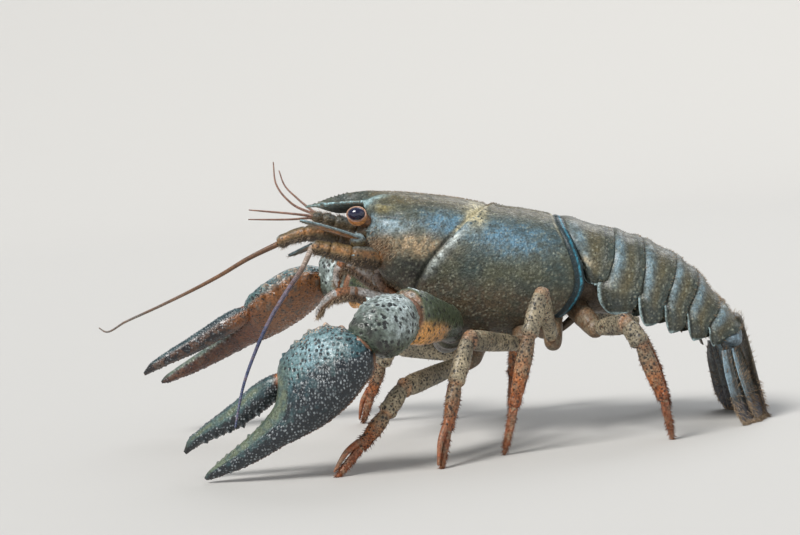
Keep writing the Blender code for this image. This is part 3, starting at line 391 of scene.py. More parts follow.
def melted(shells, voxel, rounds=3):
    """One skin over closed shells that overlap: a voxel remesh, then rounds of smoothing."""
    points, faces = joined(shells)
    mesh = bpy.data.meshes.new("core")
    mesh.from_pydata((points * MM).tolist(), [], faces.tolist())
    core = bpy.data.objects.new("core", mesh)
    bpy.context.collection.objects.link(core)
    remesh = core.modifiers.new("Melt", "REMESH")
    remesh.mode = "VOXEL"
    remesh.voxel_size = voxel * MM
    smooth = core.modifiers.new("Smooth", "SMOOTH")
    smooth.iterations = rounds
    smooth.factor = 0.5
    skin = bpy.data.meshes.new_from_object(core.evaluated_get(bpy.context.evaluated_depsgraph_get()))
    bpy.data.objects.remove(core, do_unlink=True)
    skin.calc_loop_triangles()
    placed = np.empty(len(skin.vertices) * 3, np.float32)
    skin.vertices.foreach_get("co", placed)
    corners = np.empty(len(skin.loop_triangles) * 3, np.int32)
    skin.loop_triangles.foreach_get("vertices", corners)
    bpy.data.meshes.remove(skin)
    points = placed.reshape(-1, 3).astype(float) / MM
    return points, outward(points, corners.reshape(-1, 3))


def lay_mesh(name, shells):
    """One object from shells of (points, faces, finish, values by point), kept clear of the floor."""
    starts = np.cumsum([0] + [len(shell[0]) for shell in shells[:-1]])
    points = np.concatenate([shell[0] for shell in shells])
    points[:, 2] = np.maximum(points[:, 2], FLOOR_GAP)
    faces = np.concatenate([shell[1] + start for shell, start in zip(shells, starts)])
    mesh = bpy.data.meshes.new(name)
    mesh.vertices.add(len(points))
    mesh.vertices.foreach_set("co", ((points - MIDDLE) * MM).astype(np.float32).ravel())
    mesh.loops.add(faces.size)
    mesh.loops.foreach_set("vertex_index", faces.astype(np.int32).ravel())
    mesh.polygons.add(len(faces))
    mesh.polygons.foreach_set("loop_start", np.arange(0, faces.size, 3, dtype=np.int32))
    finishes = list(dict.fromkeys(shell[2] for shell in shells))
    for finish in finishes:
        mesh.materials.append(finish)
    slots = np.concatenate([np.full(len(shell[1]), finishes.index(shell[2]), np.int32) for shell in shells])
    mesh.polygons.foreach_set("material_index", slots)
    for label in sorted({label for shell in shells for label in shell[3]}):
        layer = mesh.attributes.new(label, "FLOAT", "POINT")
        parts = [np.broadcast_to(shell[3].get(label, 0.0), len(shell[0])) for shell in shells]
        layer.data.foreach_set("value", np.concatenate(parts).astype(np.float32))
    mesh.update(calc_edges=True)
    mesh.validate()
    mesh.shade_smooth()
    piece = bpy.data.objects.new(name, mesh)
    bpy.context.collection.objects.link(piece)
    return piece


def sown(points, faces, weight, count, seed):
    """Roots drawn over the triangles in proportion to area times weight, and the normal at each."""
    draw = np.random.default_rng(seed)
    corner = points[faces]
    cross = np.cross(corner[:, 1] - corner[:, 0], corner[:, 2] - corner[:, 0])
    chance = np.linalg.norm(cross, axis=1) * np.maximum(weight[faces].mean(axis=1), 0.0)
    chosen = draw.choice(len(faces), count, p=chance / chance.sum())
    first, second = draw.random((2, count, 1))
    folded = first + second > 1
    first, second = np.where(folded, 1 - first, first), np.where(folded, 1 - second, second)
    a, b, c = np.moveaxis(corner[chosen], 1, 0)
    return a + (b - a) * first + (c - a) * second, unit(cross[chosen])


def bristles(roots, lie, length, width, seed, sway=0.25):
    """Three-sided hairs along root + l (s lie + s^2 sag / 4), whose radius is width (1 - s)^0.8."""
    count = len(roots)
    draw = np.random.default_rng(seed)
    length = length * (0.6 + 0.6 * draw.random((count, 1, 1)))
    lie = unit(lie + sway * draw.normal(size=(count, 3)))
    sag = unit(np.cross(lie, draw.normal(size=(count, 3))))
    side = np.cross(lie, sag)
    s = np.array([-0.12, 0.4, 0.75])[:, None]
    angle = 2 * math.pi * np.arange(3)[:, None] / 3
    ring = sag[:, None] * np.cos(angle) + side[:, None] * np.sin(angle)
    centre = roots[:, None] + length * (lie[:, None] * s + 0.25 * sag[:, None] * s**2)
    size = width * (1 - np.clip(s, 0.0, 1.0)) ** 0.8
    body = (centre[:, :, None] + ring[:, None] * size[:, None]).reshape(count, 9, 3)
    points = np.concatenate([body, roots[:, None] + length * (lie + 0.25 * sag)[:, None]], axis=1)
    corner = np.arange(6)
    after = corner + np.where(corner % 3 == 2, -2, 1)
    ends = [(0, 2, 1), (6, 7, 9), (7, 8, 9), (8, 6, 9)]
    one = np.concatenate([ends, split_quads(corner, after, after + 3, corner + 3)])
    return points.reshape(-1, 3), (one + 10 * np.arange(count)[:, None, None]).reshape(-1, 3)


def hairs_on(points, faces, weight, count, seed, upright, drift, length, width, sway=0.25):
    """A group of hairs sown over a shell, each lying along upright times the normal plus the drift."""
    roots, normals = sown(points, faces, weight, count, seed)
    return roots, upright * normals + drift, length, width, seed, sway


def unrolled(roots, tile, tiles):
    """Place of each root on its shell unrolled about the shell's long axis, in a tile of a square sheet."""
    offset = roots - roots.mean(axis=0)
    along, across, up = (offset @ np.linalg.svd(offset, full_matrices=False)[2].T).T
    turn = np.arctan2(up, across) / (2 * math.pi) + 0.5
    flat = np.stack([turn, (along - along.min()) / np.ptp(along)], axis=-1)
    side = math.ceil(math.sqrt(tiles))
    return (flat * (1 - 2 * TILE_MARGIN) + TILE_MARGIN + (tile % side, tile // side)) / side


def lay_bristles(name, groups, finish):
    """Hairs of several groups as one coat, each a small patch of the sheet at its root's place."""
    shells = [bristles(*group) for group in groups]
    coat = lay_mesh(name, [(points, faces, finish, {}) for points, faces in shells])
    place = np.concatenate([unrolled(group[0], tile, len(groups)) for tile, group in enumerate(groups)])
    patch = np.array([(k % 3 / 3, k // 3 / 3) for k in range(10)]) * HAIR_PATCH
    corners = (place[:, None] + patch).reshape(-1, 2)
    loops = np.empty(len(coat.data.loops), np.int32)
    coat.data.loops.foreach_get("vertex_index", loops)
    unwrap = coat.data.uv_layers.new(name="OFBake")
    unwrap.data.foreach_set("uv", corners[loops].astype(np.float32).ravel())
    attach(coat, "root")


def node(material, kind, values=None, **settings):
    """A shader node of one kind: a value that is a socket is linked, any other is set."""
    made = material.node_tree.nodes.new("ShaderNode" + kind)
    for key, value in settings.items():
        setattr(made, key, value)
    for socket, value in (values or {}).items():
        if isinstance(value, bpy.types.NodeSocket):
            material.node_tree.links.new(value, made.inputs[socket])
        else:
            made.inputs[socket].default_value = value
    return made


def reckoned(material, operation, first, second):
    """Two numbers or sockets put together by one operation."""
    return node(material, "Math", {0: first, 1: second}, operation=operation).outputs[0]


def blended(material, factor, under, over):
    """The colour under where the factor is 0, the colour over where it is 1, and their mix between."""
    return node(material, "Mix", {0: factor, 6: under, 7: over}, data_type="RGBA").outputs[2]


def cloudy(material, size, low, high, detail=4.0):
    """Noise whose clouds are so many millimetres across, from 0 below low to 1 above high."""
    place = node(material, "TexCoord").outputs["Object"]
    noise = node(material, "TexNoise", {"Vector": place, "Scale": 1 / (size * MM), "Detail": detail})
    spread = {"Value": noise.outputs["Fac"], "From Min": low, "From Max": high}
    return node(material, "MapRange", spread, interpolation_type="SMOOTHSTEP").outputs["Result"]


def spotted(material, size, reach):
    """Round spots, one in each cell of so many millimetres, that reach so far from its centre."""
    place = node(material, "TexCoord").outputs["Object"]
    spots = node(material, "TexVoronoi", {"Vector": place, "Scale": 1 / (size * MM)})
    spread = {"Value": spots.outputs["Distance"], "From Min": reach * 1.25, "From Max": reach * 0.7}
    return node(material, "MapRange", spread, interpolation_type="SMOOTHSTEP").outputs["Result"]


def shell_finish(name, ground, cloud, layers=(), spots=(), roughness=(0.36, 0.55), coat=0.12, grit=0.5):
    """Shell colour: two ground colours in clouds, then layers where a named value of the mesh is
    high, broken up by the clouds, then spots, a fine mottle and a grit that catches the light. Most
    layers are pigment, and a few are painted sheen, painted highlight and painted shade.

    A layer is (value, colour, strength) and spots are (size, reach, colour, strength, value or None).
    """
    material = bpy.data.materials.new(name)
    material.use_nodes = True
    shader = material.node_tree.nodes["Principled BSDF"]
    wide = cloudy(material, 6.0, 0.38, 0.62)
    middle = cloudy(material, 1.6, 0.30, 0.70, 6.0)
    fine = cloudy(material, 0.45, 0.30, 0.70, 3.0)
    colour = blended(material, wide, ground, cloud)
    dusk = tuple(0.4 * part for part in ground[:3]) + (1.0,)
    colour = blended(material, reckoned(material, "MULTIPLY", middle, 0.5), colour, dusk)
    broken = node(material, "MapRange", {"Value": middle, "To Min": 1.45, "To Max": 0.35}).outputs["Result"]
    for label, over, strength in layers:
        mask = node(material, "Attribute", attribute_name=label).outputs["Fac"]
        cover = node(material, "Math", {0: mask, 1: broken}, operation="MULTIPLY", use_clamp=True).outputs[0]
        colour = blended(material, reckoned(material, "MULTIPLY", cover, strength), colour, over)
    for size, reach, over, strength, label in spots:
        factor = reckoned(material, "MULTIPLY", spotted(material, size, reach), strength)
        if label:
            mask = node(material, "Attribute", attribute_name=label).outputs["Fac"]
            factor = reckoned(material, "MULTIPLY", factor, mask)
        colour = blended(material, factor, colour, over)
    tone = node(material, "MapRange", {"Value": fine, "To Min": 0.60, "To Max": 1.30}).outputs["Result"]
    colour = node(material, "VectorMath", {0: colour, "Scale": tone}, operation="SCALE").outputs[0]
    gloss = node(material, "MapRange", {"Value": middle, "To Min": roughness[0], "To Max": roughness[1]})
    material.node_tree.links.new(colour, shader.inputs["Base Color"])
    material.node_tree.links.new(gloss.outputs["Result"], shader.inputs["Roughness"])
    shader.inputs["Coat Weight"].default_value = coat
    shader.inputs["Coat Roughness"].default_value = 0.25
    pebbles = reckoned(material, "MULTIPLY", spotted(material, 0.5, 0.55), 0.8)
    height = reckoned(material, "ADD", pebbles, reckoned(material, "MULTIPLY", middle, 1.1))
    bump = node(material, "Bump", {"Strength": grit, "Distance": 0.00014, "Height": height})
    material.node_tree.links.new(bump.outputs["Normal"], shader.inputs["Normal"])
    return material


def shell_to_world(t, y, h):
    """Points of the tilted shield frame in the whole animal's frame."""
    t, y, h = np.broadcast_arrays(t, y, h)
    cosine, sine = math.cos(SHELL_PITCH), math.sin(SHELL_PITCH)
    return np.stack([t * cosine + h * sine, y, h * cosine - t * sine], axis=-1) + GROOVE_TOP


def world_to_shell(points):
    """(t, |y|, h) of points: the turn of shell_to_world undone, with both sides folded together."""
    x, y, z = (points - GROOVE_TOP).T
    cosine, sine = math.cos(SHELL_PITCH), math.sin(SHELL_PITCH)
    return x * cosine - z * sine, np.abs(y), x * sine + z * cosine


def shield_rings(rows=80, columns=120, insets=(0.1, 0.25, 0.45, 0.7)):
    """Rings from the face to the rear edge: half width w |sin a|^(2/n), height m + (top - m)(cos a)^(2/n).

    Each end closes in smaller rings, and the front one is hollowed towards the mouth.
    """
    angle = 2 * math.pi * np.arange(columns) / columns
    share = np.linspace(0.0, 1.0, rows)[:, None]
    sine, cosine = np.sin(angle)[None, :], np.cos(angle)[None, :]
    power = np.where(cosine >= 0, 2.25, 2.8)
    across = np.sign(sine) * np.abs(sine) ** (2 / power)
    up = np.sign(cosine) * np.abs(cosine) ** (2 / power)
    h = -12.0 + 12.0 * up + 0 * share
    for _ in range(12):
        t = (1 - share) * through(h, FACE_EDGE) + share * through(h, REAR_EDGE)
        top, half, widest = np.moveaxis(through(t, SHELL_ROWS), -1, 0)
        low = through(t, SHELL_FLOOR)
        h = np.where(up >= 0, widest + (top - widest) * up, widest + (widest - low) * up)
    y = half * across
    grid = [(t, y, h)]
    for end, edge, hollow in ((0, FACE_EDGE, 2.6), (-1, REAR_EDGE, -1.0)):
        middle = h[end].mean()
        for inset in insets:
            small_h = middle + (h[end] - middle) * (1 - inset)
            small_t = through(small_h, edge) + hollow * math.sin(inset * math.pi / 2)
            small = (small_t, y[end] * (1 - inset), small_h)
            grid.insert(0 if end == 0 else len(grid), tuple(row[None, :] for row in small))
    return shell_to_world(*(np.concatenate([item[k] for item in grid]) for k in range(3)))


def rostrum_sheet(rows=90, columns=41):
    """The beak: raised edges, a trough each side, a crest that narrows to the point, and a keel below."""
    t = np.linspace(ROSTRUM_ROWS[0][0], ROSTRUM_ROWS[-1][0], rows)[:, None]
    half, edge, crest = np.moveaxis(through(t[:, 0], ROSTRUM_ROWS), -1, 0)[..., None]
    share = np.linspace(-1.0, 1.0, columns)[None, :]
    width = 0.20 + 0.45 * smooth_step((t + 31) / 7)
    border = 0.3 * bell(np.abs(share) - 0.88, 0.12) * smooth_step((t + 40) / 3)
    top = edge + (crest - edge) * bell(share, width) + border
    depth = ROSTRUM_THICKNESS * (1 - 0.75 * np.abs(share) ** 1.5) * np.clip(half / 2.5, 0.35, 1.0)
    depth = depth + 1.5 * bell(share, 0.3) * smooth_step((t + 37) / 6)
    lower = shell_to_world(t, half * share * 0.94, edge - depth)
    return closed_sheet(shell_to_world(t, half * share, top), lower)


def shield_skin():
    """The melted lofts, beak and spines, then grooves, ridges, swellings and grains along the normals.

    A groove or a ridge is a bell or a smooth step of the distance from its line, a swelling falls off
    round its centre, and the colours follow the same distances. Some of those colours are painted
    light: a painted sheen on the upper flank and painted shade in the grooves and under the beak.
    """
    shells = [closed_tube(shield_rings()), rostrum_sheet()]
    for side in (-1, 1):
        for foot, tip, radius in HEAD_SPINES:
            foot = shell_to_world(foot[0], side * foot[1], foot[2])
            shells.append(spike(foot, shell_to_world(tip[0], side * tip[1], tip[2]), radius))
        for t, y, h in SHOULDER_SPINES:
            foot = shell_to_world(t + 1.4, side * (y - 0.9), h)
            shells.append(spike(foot, shell_to_world(t - 0.5, side * (y + 0.9), h + 0.4), 0.6))
    for number in range(BEAK_TEETH):
        t = -30.4 - 0.86 * number
        crest = through(t, ROSTRUM_ROWS)[2]
        foot = shell_to_world(t + 0.5, 0, crest - 0.5)
        shells.append(spike(foot, shell_to_world(t - 0.5, 0, crest + 0.25), 0.4))
    points, faces = melted(shells, SHELL_VOXEL)
    t, y, h = world_to_shell(points)

    def patch(centre, reach):
        """exp(-d^2), where d is the distance from the centre measured in the reach of each axis."""
        return np.exp(-sum(((part - mid) / far) ** 2 for part, mid, far in zip((t, y, h), centre, reach)))

    from_groove = t - through(h, GROOVE_EDGE)
    from_rear = through(h, REAR_EDGE) - t
    upper = smooth_step((h + 25) / 4)
    behind = smooth_step(from_groove / 1.5)
    on_shield = smooth_step((t + 30) / 3)
    height = -0.55 * bell(from_groove, 0.55) * upper * on_shield
    height += 0.28 * bell(from_groove - 1.4, 1.1) * upper
    furrow = through(t, FURROW_LINE)
    height -= 0.36 * bell(y - furrow, 0.42) * smooth_step(t / 2) * (h > -3)
    height -= 0.42 * bell(from_rear - 1.9, 0.35)
    height += 0.3 * bell(y - through(t, RIDGE_LINE), 0.5) * bell(t + 25, 5.0) * (h > -4)
    for centre, reach, rise in SHELL_SWELLINGS:
        height += rise * patch(centre, reach)
    distance, draw = cells(points, 0.75)
    grain = smooth_step(1 - distance / (0.22 + 0.2 * draw)) * smooth_step((t + 31) / 4)
    coarse = 0.35 + 0.65 * behind
    height += 0.12 * grain * coarse * smooth_step((from_rear - 2.2) / 0.6)
    lump, _ = cells(points, 2.1, 4.0)
    cheek = bell(t + 19.5, 5) * bell(h + 11, 5) * (y > 4)
    height += 0.22 * smooth_step(1 - lump / 1.0) * cheek
    points = points + normals_of(points, faces) * height[:, None]
    top_seam = smooth_step((h + 8.5) / 3)
    mesh_distance, _ = cells(points, 0.95, 9.0)
    net = smooth_step((mesh_distance - 0.22) / 0.25)
    beside_eye = 1.3 * patch((-20.2, 9, -6.7), (4.0, 5, 2.0)) * (0.35 + 0.65 * net)
    below_edge = smooth_step((through(t, ROSTRUM_ROWS)[:, 1] - 1.1 - h) / 0.4)
    values = dict(
        grain=grain * smooth_step((from_rear - 2.0) / 0.6),
        # blue: the flank's own blue colour, lightened into a painted sheen on the upper flank and the side of
        # the head
        blue=patch((5.1, 13, -6.3), (9.0, 9, 3.6)) + 1.05 * patch((-9.2, 10, -4.7), (5.6, 8, 2.4)),
        socket=np.maximum(patch((-24.6, 8, -6.6), (1.3, 4, 3.4)), beside_eye),
        low=smooth_step((-13.5 - h) / 7),
        cheek=1.15 * patch((-14.8, 12, -10.3), (6.2, 8, 2.3)) * (0.4 + 0.6 * net),
        rust=patch((-22.4, 10, -13.0), (2.2, 7, 2.6)),
        shade=patch((-14.6, 12, -15.8), (5.4, 9, 2.7))
        + below_edge * smooth_step((-26.5 - t) / 1.5) * (h > -9),
        tan=top_seam * bell(from_groove + 0.2, 0.4) + 1.5 * patch((-2.6, 8, -2.0), (2.0, 8, 2.9)) * net,
        lip=bell(from_groove - 1.3, 1.1)
        * smooth_step((-4.5 - h) / 3)
        * smooth_step((h + 18) / 6)
        * (0.8 + 0.5 * grain),
        # dark: painted shade in the cervical groove, under the ridge behind the eye and in the furrow beside
        # the back line
        dark=bell(from_groove + 0.3, 0.6) * (1 - top_seam) * upper
        + patch((-20.8, 8, -4.95), (3.0, 3, 0.4))
        + 0.5 * bell(y - furrow, 0.3) * smooth_step(t / 2) * (h > -3),
        rim=2.0 * smooth_step((2.2 - from_rear) / 0.4) * on_shield,
        line=1.6 * bell(from_rear - 0.75, 0.17) * smooth_step((h + 24) / 6),
        cream=bell(from_rear - 2.3, 0.35) * smooth_step((h + 7) / 4),
        ridge=patch((-22.2, 7.5, -3.6), (2.8, 2.0, 0.9)),
        border=bell(y - through(t, BEAK_EDGE), 0.8) * smooth_step((-20 - t) / 6),
        back=smooth_step((h + 3.2) / 2.6) * smooth_step((t + 27) / 3),
    )
    return points, faces, values


SHIELD_FINISH = shell_finish(
    "shield_shell",
    dye(84, 86, 66),
    dye(58, 72, 68),
    layers=(
        ("low", dye(82, 66, 48), 0.8),
        ("back", dye(108, 94, 60), 0.7),
        # blue colour with a painted sheen on the upper flank
        ("blue", dye(94, 134, 158), 0.85),
        ("socket", dye(140, 166, 178), 0.9),
        ("cheek", dye(178, 152, 118), 0.9),
        ("rust", dye(170, 108, 52), 0.85),
        ("shade", dye(34, 30, 28), 0.9),
        ("ridge", dye(150, 138, 92), 0.85),
        ("lip", dye(204, 214, 212), 0.95),
        ("tan", dye(206, 196, 160), 0.9),
        # painted shade in the grooves and under the eye ridge
        ("dark", dye(30, 32, 28), 0.9),
        ("border", dye(170, 206, 212), 0.9),
        ("grain", dye(164, 166, 146), 0.62),
        ("rim", dye(18, 44, 52), 0.95),
        ("line", dye(54, 134, 158), 0.95),
        ("cream", dye(186, 180, 146), 0.7),
    ),
    spots=((1.4, 0.16, dye(30, 28, 26), 0.65, None), (0.8, 0.2, dye(36, 36, 32), 0.4, None)),
)
skin_points, skin_faces, skin_values = shield_skin()
shield = lay_mesh("carapace", [(skin_points, skin_faces, SHIELD_FINISH, skin_values)])
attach(shield, "root")
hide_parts("head", "thorax")
BRISTLE_FINISH = shell_finish(
    "bristle", dye(196, 172, 144), dye(140, 118, 92), roughness=(0.5, 0.7), coat=0.0, grit=0.1
)
skin_t, skin_y, skin_h = world_to_shell(skin_points)
low_edge = bell(skin_h - through(skin_t, SHELL_FLOOR) - 0.8, 0.6)
low_edge = low_edge * smooth_step((21 - skin_t) / 3) * (skin_y > 2)
cheek_front = bell(skin_t + 22.6, 2.4) * bell(skin_h + 11.4, 1.9) * (skin_y > 3)
back_line = bell(skin_y, 1.6) * smooth_step((skin_h + 3) / 1.5) * smooth_step((4 - skin_t) / 4)
beak_edge = bell(skin_y - through(skin_t, BEAK_EDGE[:3]), 0.6) * smooth_step((-26 - skin_t) / 2)
shield_hair = [
    hairs_on(skin_points, skin_faces, *sowing)
    for sowing in (
        (low_edge, 1300, 11, 0.7, (-0.3, 0.0, -1.1), 1.0, 0.06),
        (cheek_front, 700, 12, 0.7, (-0.6, 0.0, -0.5), 1.35, 0.095),
        (back_line, 700, 13, 0.7, (-0.5, 0.0, 0.1), 0.3, 0.05),
        (beak_edge, 400, 14, 0.7, (-0.9, 0.0, -0.4), 0.5, 0.05),
    )
]
lay_bristles("carapace_bristles", shield_hair, BRISTLE_FINISH)

# Abdomen: six overlapping bands of the same shell, each an arch that ends in a rounded side lobe and
# turns on a hinge at each flank. A raised rear lip rides over the next band. Small leaves hang on
# stems below the second to fifth, and a pair of rods lies below the first.

# Each seam as (x, z) at the back line, (x, z) at the hinge and the half width, and each side lobe as
# its front and rear x and the (x, z) of its tip.
BAND_SEAMS = (
    ((34.6, 47.0), (37.4, 38.4), 11.2),
    ((45.8, 43.3), (44.3, 33.8), 12.4),
    ((52.2, 41.1), (50.9, 30.4), 12.8),
    ((59.2, 37.1), (56.0, 27.8), 12.5),
    ((64.0, 33.0), (60.4, 25.4), 11.9),
    ((68.4, 26.8), (64.8, 21.8), 10.9),
    ((72.9, 20.9), (69.9, 19.0), 9.0),
)
LOBES = (
    ((38.4, 42.6), (40.8, 32.2)),
    ((41.4, 49.9), (45.5, 25.4)),
    ((49.9, 55.4), (51.7, 22.5)),
    ((55.4, 60.2), (56.7, 20.6)),
    ((60.2, 64.8), (61.6, 18.6)),
    ((64.8, 68.4), (65.9, 17.0)),
)
PLEURON_THICKNESS = 0.9
BELLY_DEPTHS = (1.4, 2.0, 2.0, 2.0, 2.0, 1.4)
# The shares of a band's length by which its front tucks under the one before, and its lip reaches.
BAND_TUCK = 0.16
BAND_REACH = 1.07


def mirrored(rows):
    """The same points on the other side of the animal: the second number of each row changes sign."""
    rows = np.array(rows, float)
    rows[..., 1] = -rows[..., 1]
    return rows


def band_sheet(number, rows=52, columns=76):
    """One band. Down the flank d runs from 0 at the back line to 1 at the hinge and 2 at the lobe's tip.

    The arch is hinge + (back - hinge) cos(d pi / 2)^(2/n) with the half width times sin(d pi / 2)^(2/n),
    and the lift adds the tucked front, a ridge behind it and the raised rear lip.
    """
    front, rear = BAND_SEAMS[number], BAND_SEAMS[number + 1]
    (lobe_front, lobe_rear), tip = LOBES[number]
    q = np.linspace(0.0, 1.0, rows)[:, None]
    r = -BAND_TUCK + (BAND_REACH + BAND_TUCK) * q
    d = np.linspace(0.0, 2.0, columns)[None, :]
    arch = np.clip(d, 0.0, 1.0) * math.pi / 2
    hang = np.clip(d - 1.0, 0.0, 1.0)
    power = 2 / 2.3
    back = np.array(front[0]) * (1 - r) + np.array(rear[0]) * r
    hinge = np.array(front[1]) * (1 - r) + np.array(rear[1]) * r
    rise = unit(back - hinge)
    tuck = 0.8 * np.clip(-r / BAND_TUCK, 0, 1) + 0.35 * bell(r - 0.02, 0.08)
    swell = 0.42 * bell(r - 0.30, 0.16) + 0.28 * smooth_step((r - 0.75) / 0.2) + 0.15 * np.sin(math.pi * q)
    half = front[2] * (1 - r) + rear[2] * r + swell - tuck * (1 - smooth_step(hang * 3.5))
    back = back + rise * (swell - tuck)
    cosine = np.cos(arch) ** power
    x = hinge[:, :1] + (back - hinge)[:, :1] * cosine
    z = hinge[:, 1:] + (back - hinge)[:, 1:] * cosine
    y = half * np.sin(arch) ** power - 0.9 * hang**2
    bulge = smooth_step((d - 0.72) / 0.62)
    lobe_x = lobe_front + 0.15 + (lobe_rear - lobe_front - 0.3) * q
    x = x + (lobe_x - x) * bulge
    middle = x.mean(axis=0)
    rounding = 1 - np.sqrt(1 - 0.985 * np.clip(hang / 0.55 - 0.82, 0, 1) ** 2)
    x = x + (middle + (tip[0] - middle) * hang**2 - x) * rounding
    z = z + (tip[1] - hinge[:, 1:]) * hang
    y = y + 0.95 * smooth_step(hang * 3) * (1 - (2 * q - 1) ** 2) * (1 - hang**3)
    bead = np.maximum(bell(q - 0.02, 0.05), bell(0.97 - hang, 0.05)) * smooth_step(hang * 4)
    y = y + 0.2 * bead
    outer = np.stack([x, -y, z], axis=-1)
    belly = hinge - rise * BELLY_DEPTHS[number]
    tucked = d <= 1.0
    inner_half = half - PLEURON_THICKNESS - 1.2
    inner_y = np.where(tucked, inner_half * np.clip(d, 0.0, 1.0), y - PLEURON_THICKNESS)
    inner_x = np.where(tucked, belly[:, :1], x)
    inner_z = np.where(tucked, belly[:, 1:], np.minimum(z, belly[:, 1:] - 0.1 - 0.3 * hang))
    inner = np.stack([inner_x, -inner_y, inner_z], axis=-1)
    outer = np.concatenate([outer[:, :0:-1], mirrored(outer)], axis=1)
    inner = np.concatenate([inner[:, :0:-1], mirrored(inner)], axis=1)
    r, d, hang, q, bead = np.broadcast_arrays(r, d, hang, q, bead)
    values = dict(
        # blue: the front third's own blue colour with a painted sheen over it
        blue=bell(r - 0.27, 0.17) * smooth_step((d - 0.2) / 0.4) * smooth_step((1.3 - d) / 0.4),
        teal=smooth_step((r - 0.62) / 0.3) * smooth_step((d - 0.3) / 0.4) * 0.8,
        lobe=smooth_step(hang * 2.2) * (0.35 + 0.65 * smooth_step((0.4 - np.abs(q - 0.35)) / 0.3)),
        brown=bell(r - 0.62, 0.2) * smooth_step((d - 0.1) / 0.4) * smooth_step((1.6 - d) / 0.4),
        rim=bead,
        # painted shade in the seam where the front tucks under the band before, and a thin painted shade line
        # before the rear lip
        groove=bell(r - 0.02, 0.09) + 0.7 * bell(r - 0.9, 0.03),
        cream=bell(d - 1.02, 0.09) * bell(r - 0.35, 0.22) * (1.0 if number == 0 else 0.15),
        lip=bell(r - 1.03, 0.06) + 0.25 * bell(d, 0.3),
    )
    both = {
        label: np.concatenate([value[:, :0:-1], value], axis=1).ravel() for label, value in values.items()
    }
    points, faces = closed_sheet(outer, inner)
    doubled = {label: np.concatenate([value, 0.2 * value]) for label, value in both.items()}
    return points, faces, doubled


BAND_FINISH = shell_finish(
    "band_shell",
    dye(88, 86, 66),
    dye(70, 78, 70),
    layers=(
        ("lobe", dye(74, 84, 86), 0.6),
        ("teal", dye(50, 70, 72), 0.6),
        ("brown", dye(104, 92, 60), 0.45),
        # blue colour with a painted sheen across each band's front third
        ("blue", dye(132, 160, 174), 0.7),
        # painted shade in the seams between bands
        ("groove", dye(26, 30, 28), 0.85),
        ("grain", dye(172, 174, 154), 0.6),
        ("cream", dye(206, 190, 158), 0.95),
        ("rim", dye(168, 194, 198), 0.95),
    ),
    spots=((1.2, 0.17, dye(34, 32, 26), 0.6, None),),
)


def grained(points, faces, values, size, rise, seed=0.0):
    """The same shell with round grains raised along its normals, and their tops as a value."""
    distance, draw = cells(points, size, seed)
    grain = smooth_step(1 - distance / (size * (0.3 + 0.28 * draw)))
    return points + normals_of(points, faces) * (rise * grain)[:, None], faces, dict(values, grain=grain)


def blade_sheet(root, tip, half, thick, across, outline, rows=60, columns=41, relief=None):
    """A thin rounded plate from root to tip: width from the outline, a shallow curl and raised ribs."""
    root, tip = np.asarray(root, float), np.asarray(tip, float)
    along = unit(tip - root)
    across = unit(np.asarray(across, float) - along * np.dot(across, along))
    face = np.cross(along, across)
    share = np.linspace(0.0, 1.0, rows)[:, None]
    side = np.linspace(-1.0, 1.0, columns)[None, :]
    width = half * through(share[:, 0], outline)[:, None]
    depth = thick / 2 * (1.1 - 0.5 * share) * (1 - 0.75 * np.abs(side) ** 3)
    reach = share * np.linalg.norm(tip - root)
    middle = root + along * reach[..., None] + across * (side * width)[..., None]
    curl = -0.10 * half * side**2
    raised = relief(share, side) if relief else 0.0
    outer = middle + face * (curl + depth + raised)[..., None]
    inner = middle + face * (curl - depth - 0.5 * raised)[..., None]
    return outer, inner, share, side


SWIMMERET_SIDES = (3.9, 6.1)
LEAF_OUTLINE = ((0.0, 0.55), (0.2, 0.86), (0.5, 1.0), (0.8, 0.92), (0.93, 0.7), (1.0, 0.38))
SWIMMERET_FINISH = shell_finish("swimmeret_shell", dye(96, 80, 62), dye(70, 60, 50), coat=0.05)
# The soft waist under the first bands as its start, its run, half height and half width, and a rod
# as rows of (x, y, z, radius).
WAIST = ((26.0, 0.0, 33.5), (24.0, 0.0, -2.0), 7.2, 9.4)
ROD = (
    (41.2, 1.3, 33.8, 0.9),
    (40.2, 1.3, 29.5, 0.85),
    (38.2, 1.2, 25.6, 0.8),
    (34.4, 1.1, 22.3, 0.7),
    (30.8, 1.0, 20.8, 0.45),
)


def swimmeret_shells(number):
    """Each side a short stem from the belly and two leaves that hang down and back from it."""
    middle = (np.array(BAND_SEAMS[number][1]) + np.array(BAND_SEAMS[number + 1][1])) / 2
    shells = []
    for side in (-1, 1):
        top = np.array([middle[0], side * sum(SWIMMERET_SIDES) / 2, middle[1] - BELLY_DEPTHS[number] + 0.8])
        path = top + np.linspace(0.0, 1.0, 10)[:, None] * (0.3, 0.0, -2.6)
        stem = rings_along(path, np.linspace(0.8, 0.6, 10), np.linspace(1.6, 1.5, 10), 20)
        shells.append(closed_tube(stem))
        for y in SWIMMERET_SIDES:
            root = np.array([path[-1, 0], side * y, path[-1, 2] + 0.7])
            tip = root + (1.2, side * 0.1, -3.4)
            outer, inner, _, _ = blade_sheet(root, tip, 1.0, 0.5, (0.0, 1.0, 0.0), LEAF_OUTLINE, 20, 11)
            shells.append(closed_sheet(outer, inner))
    return [(points, faces, SWIMMERET_FINISH, {}) for points, faces in shells]


def evenly(share, rows):
    """Smooth curve through rows at equal steps, from share 0 at the first to 1 at the last."""
    return through(share, np.column_stack([np.linspace(0, 1, len(rows)), rows]))


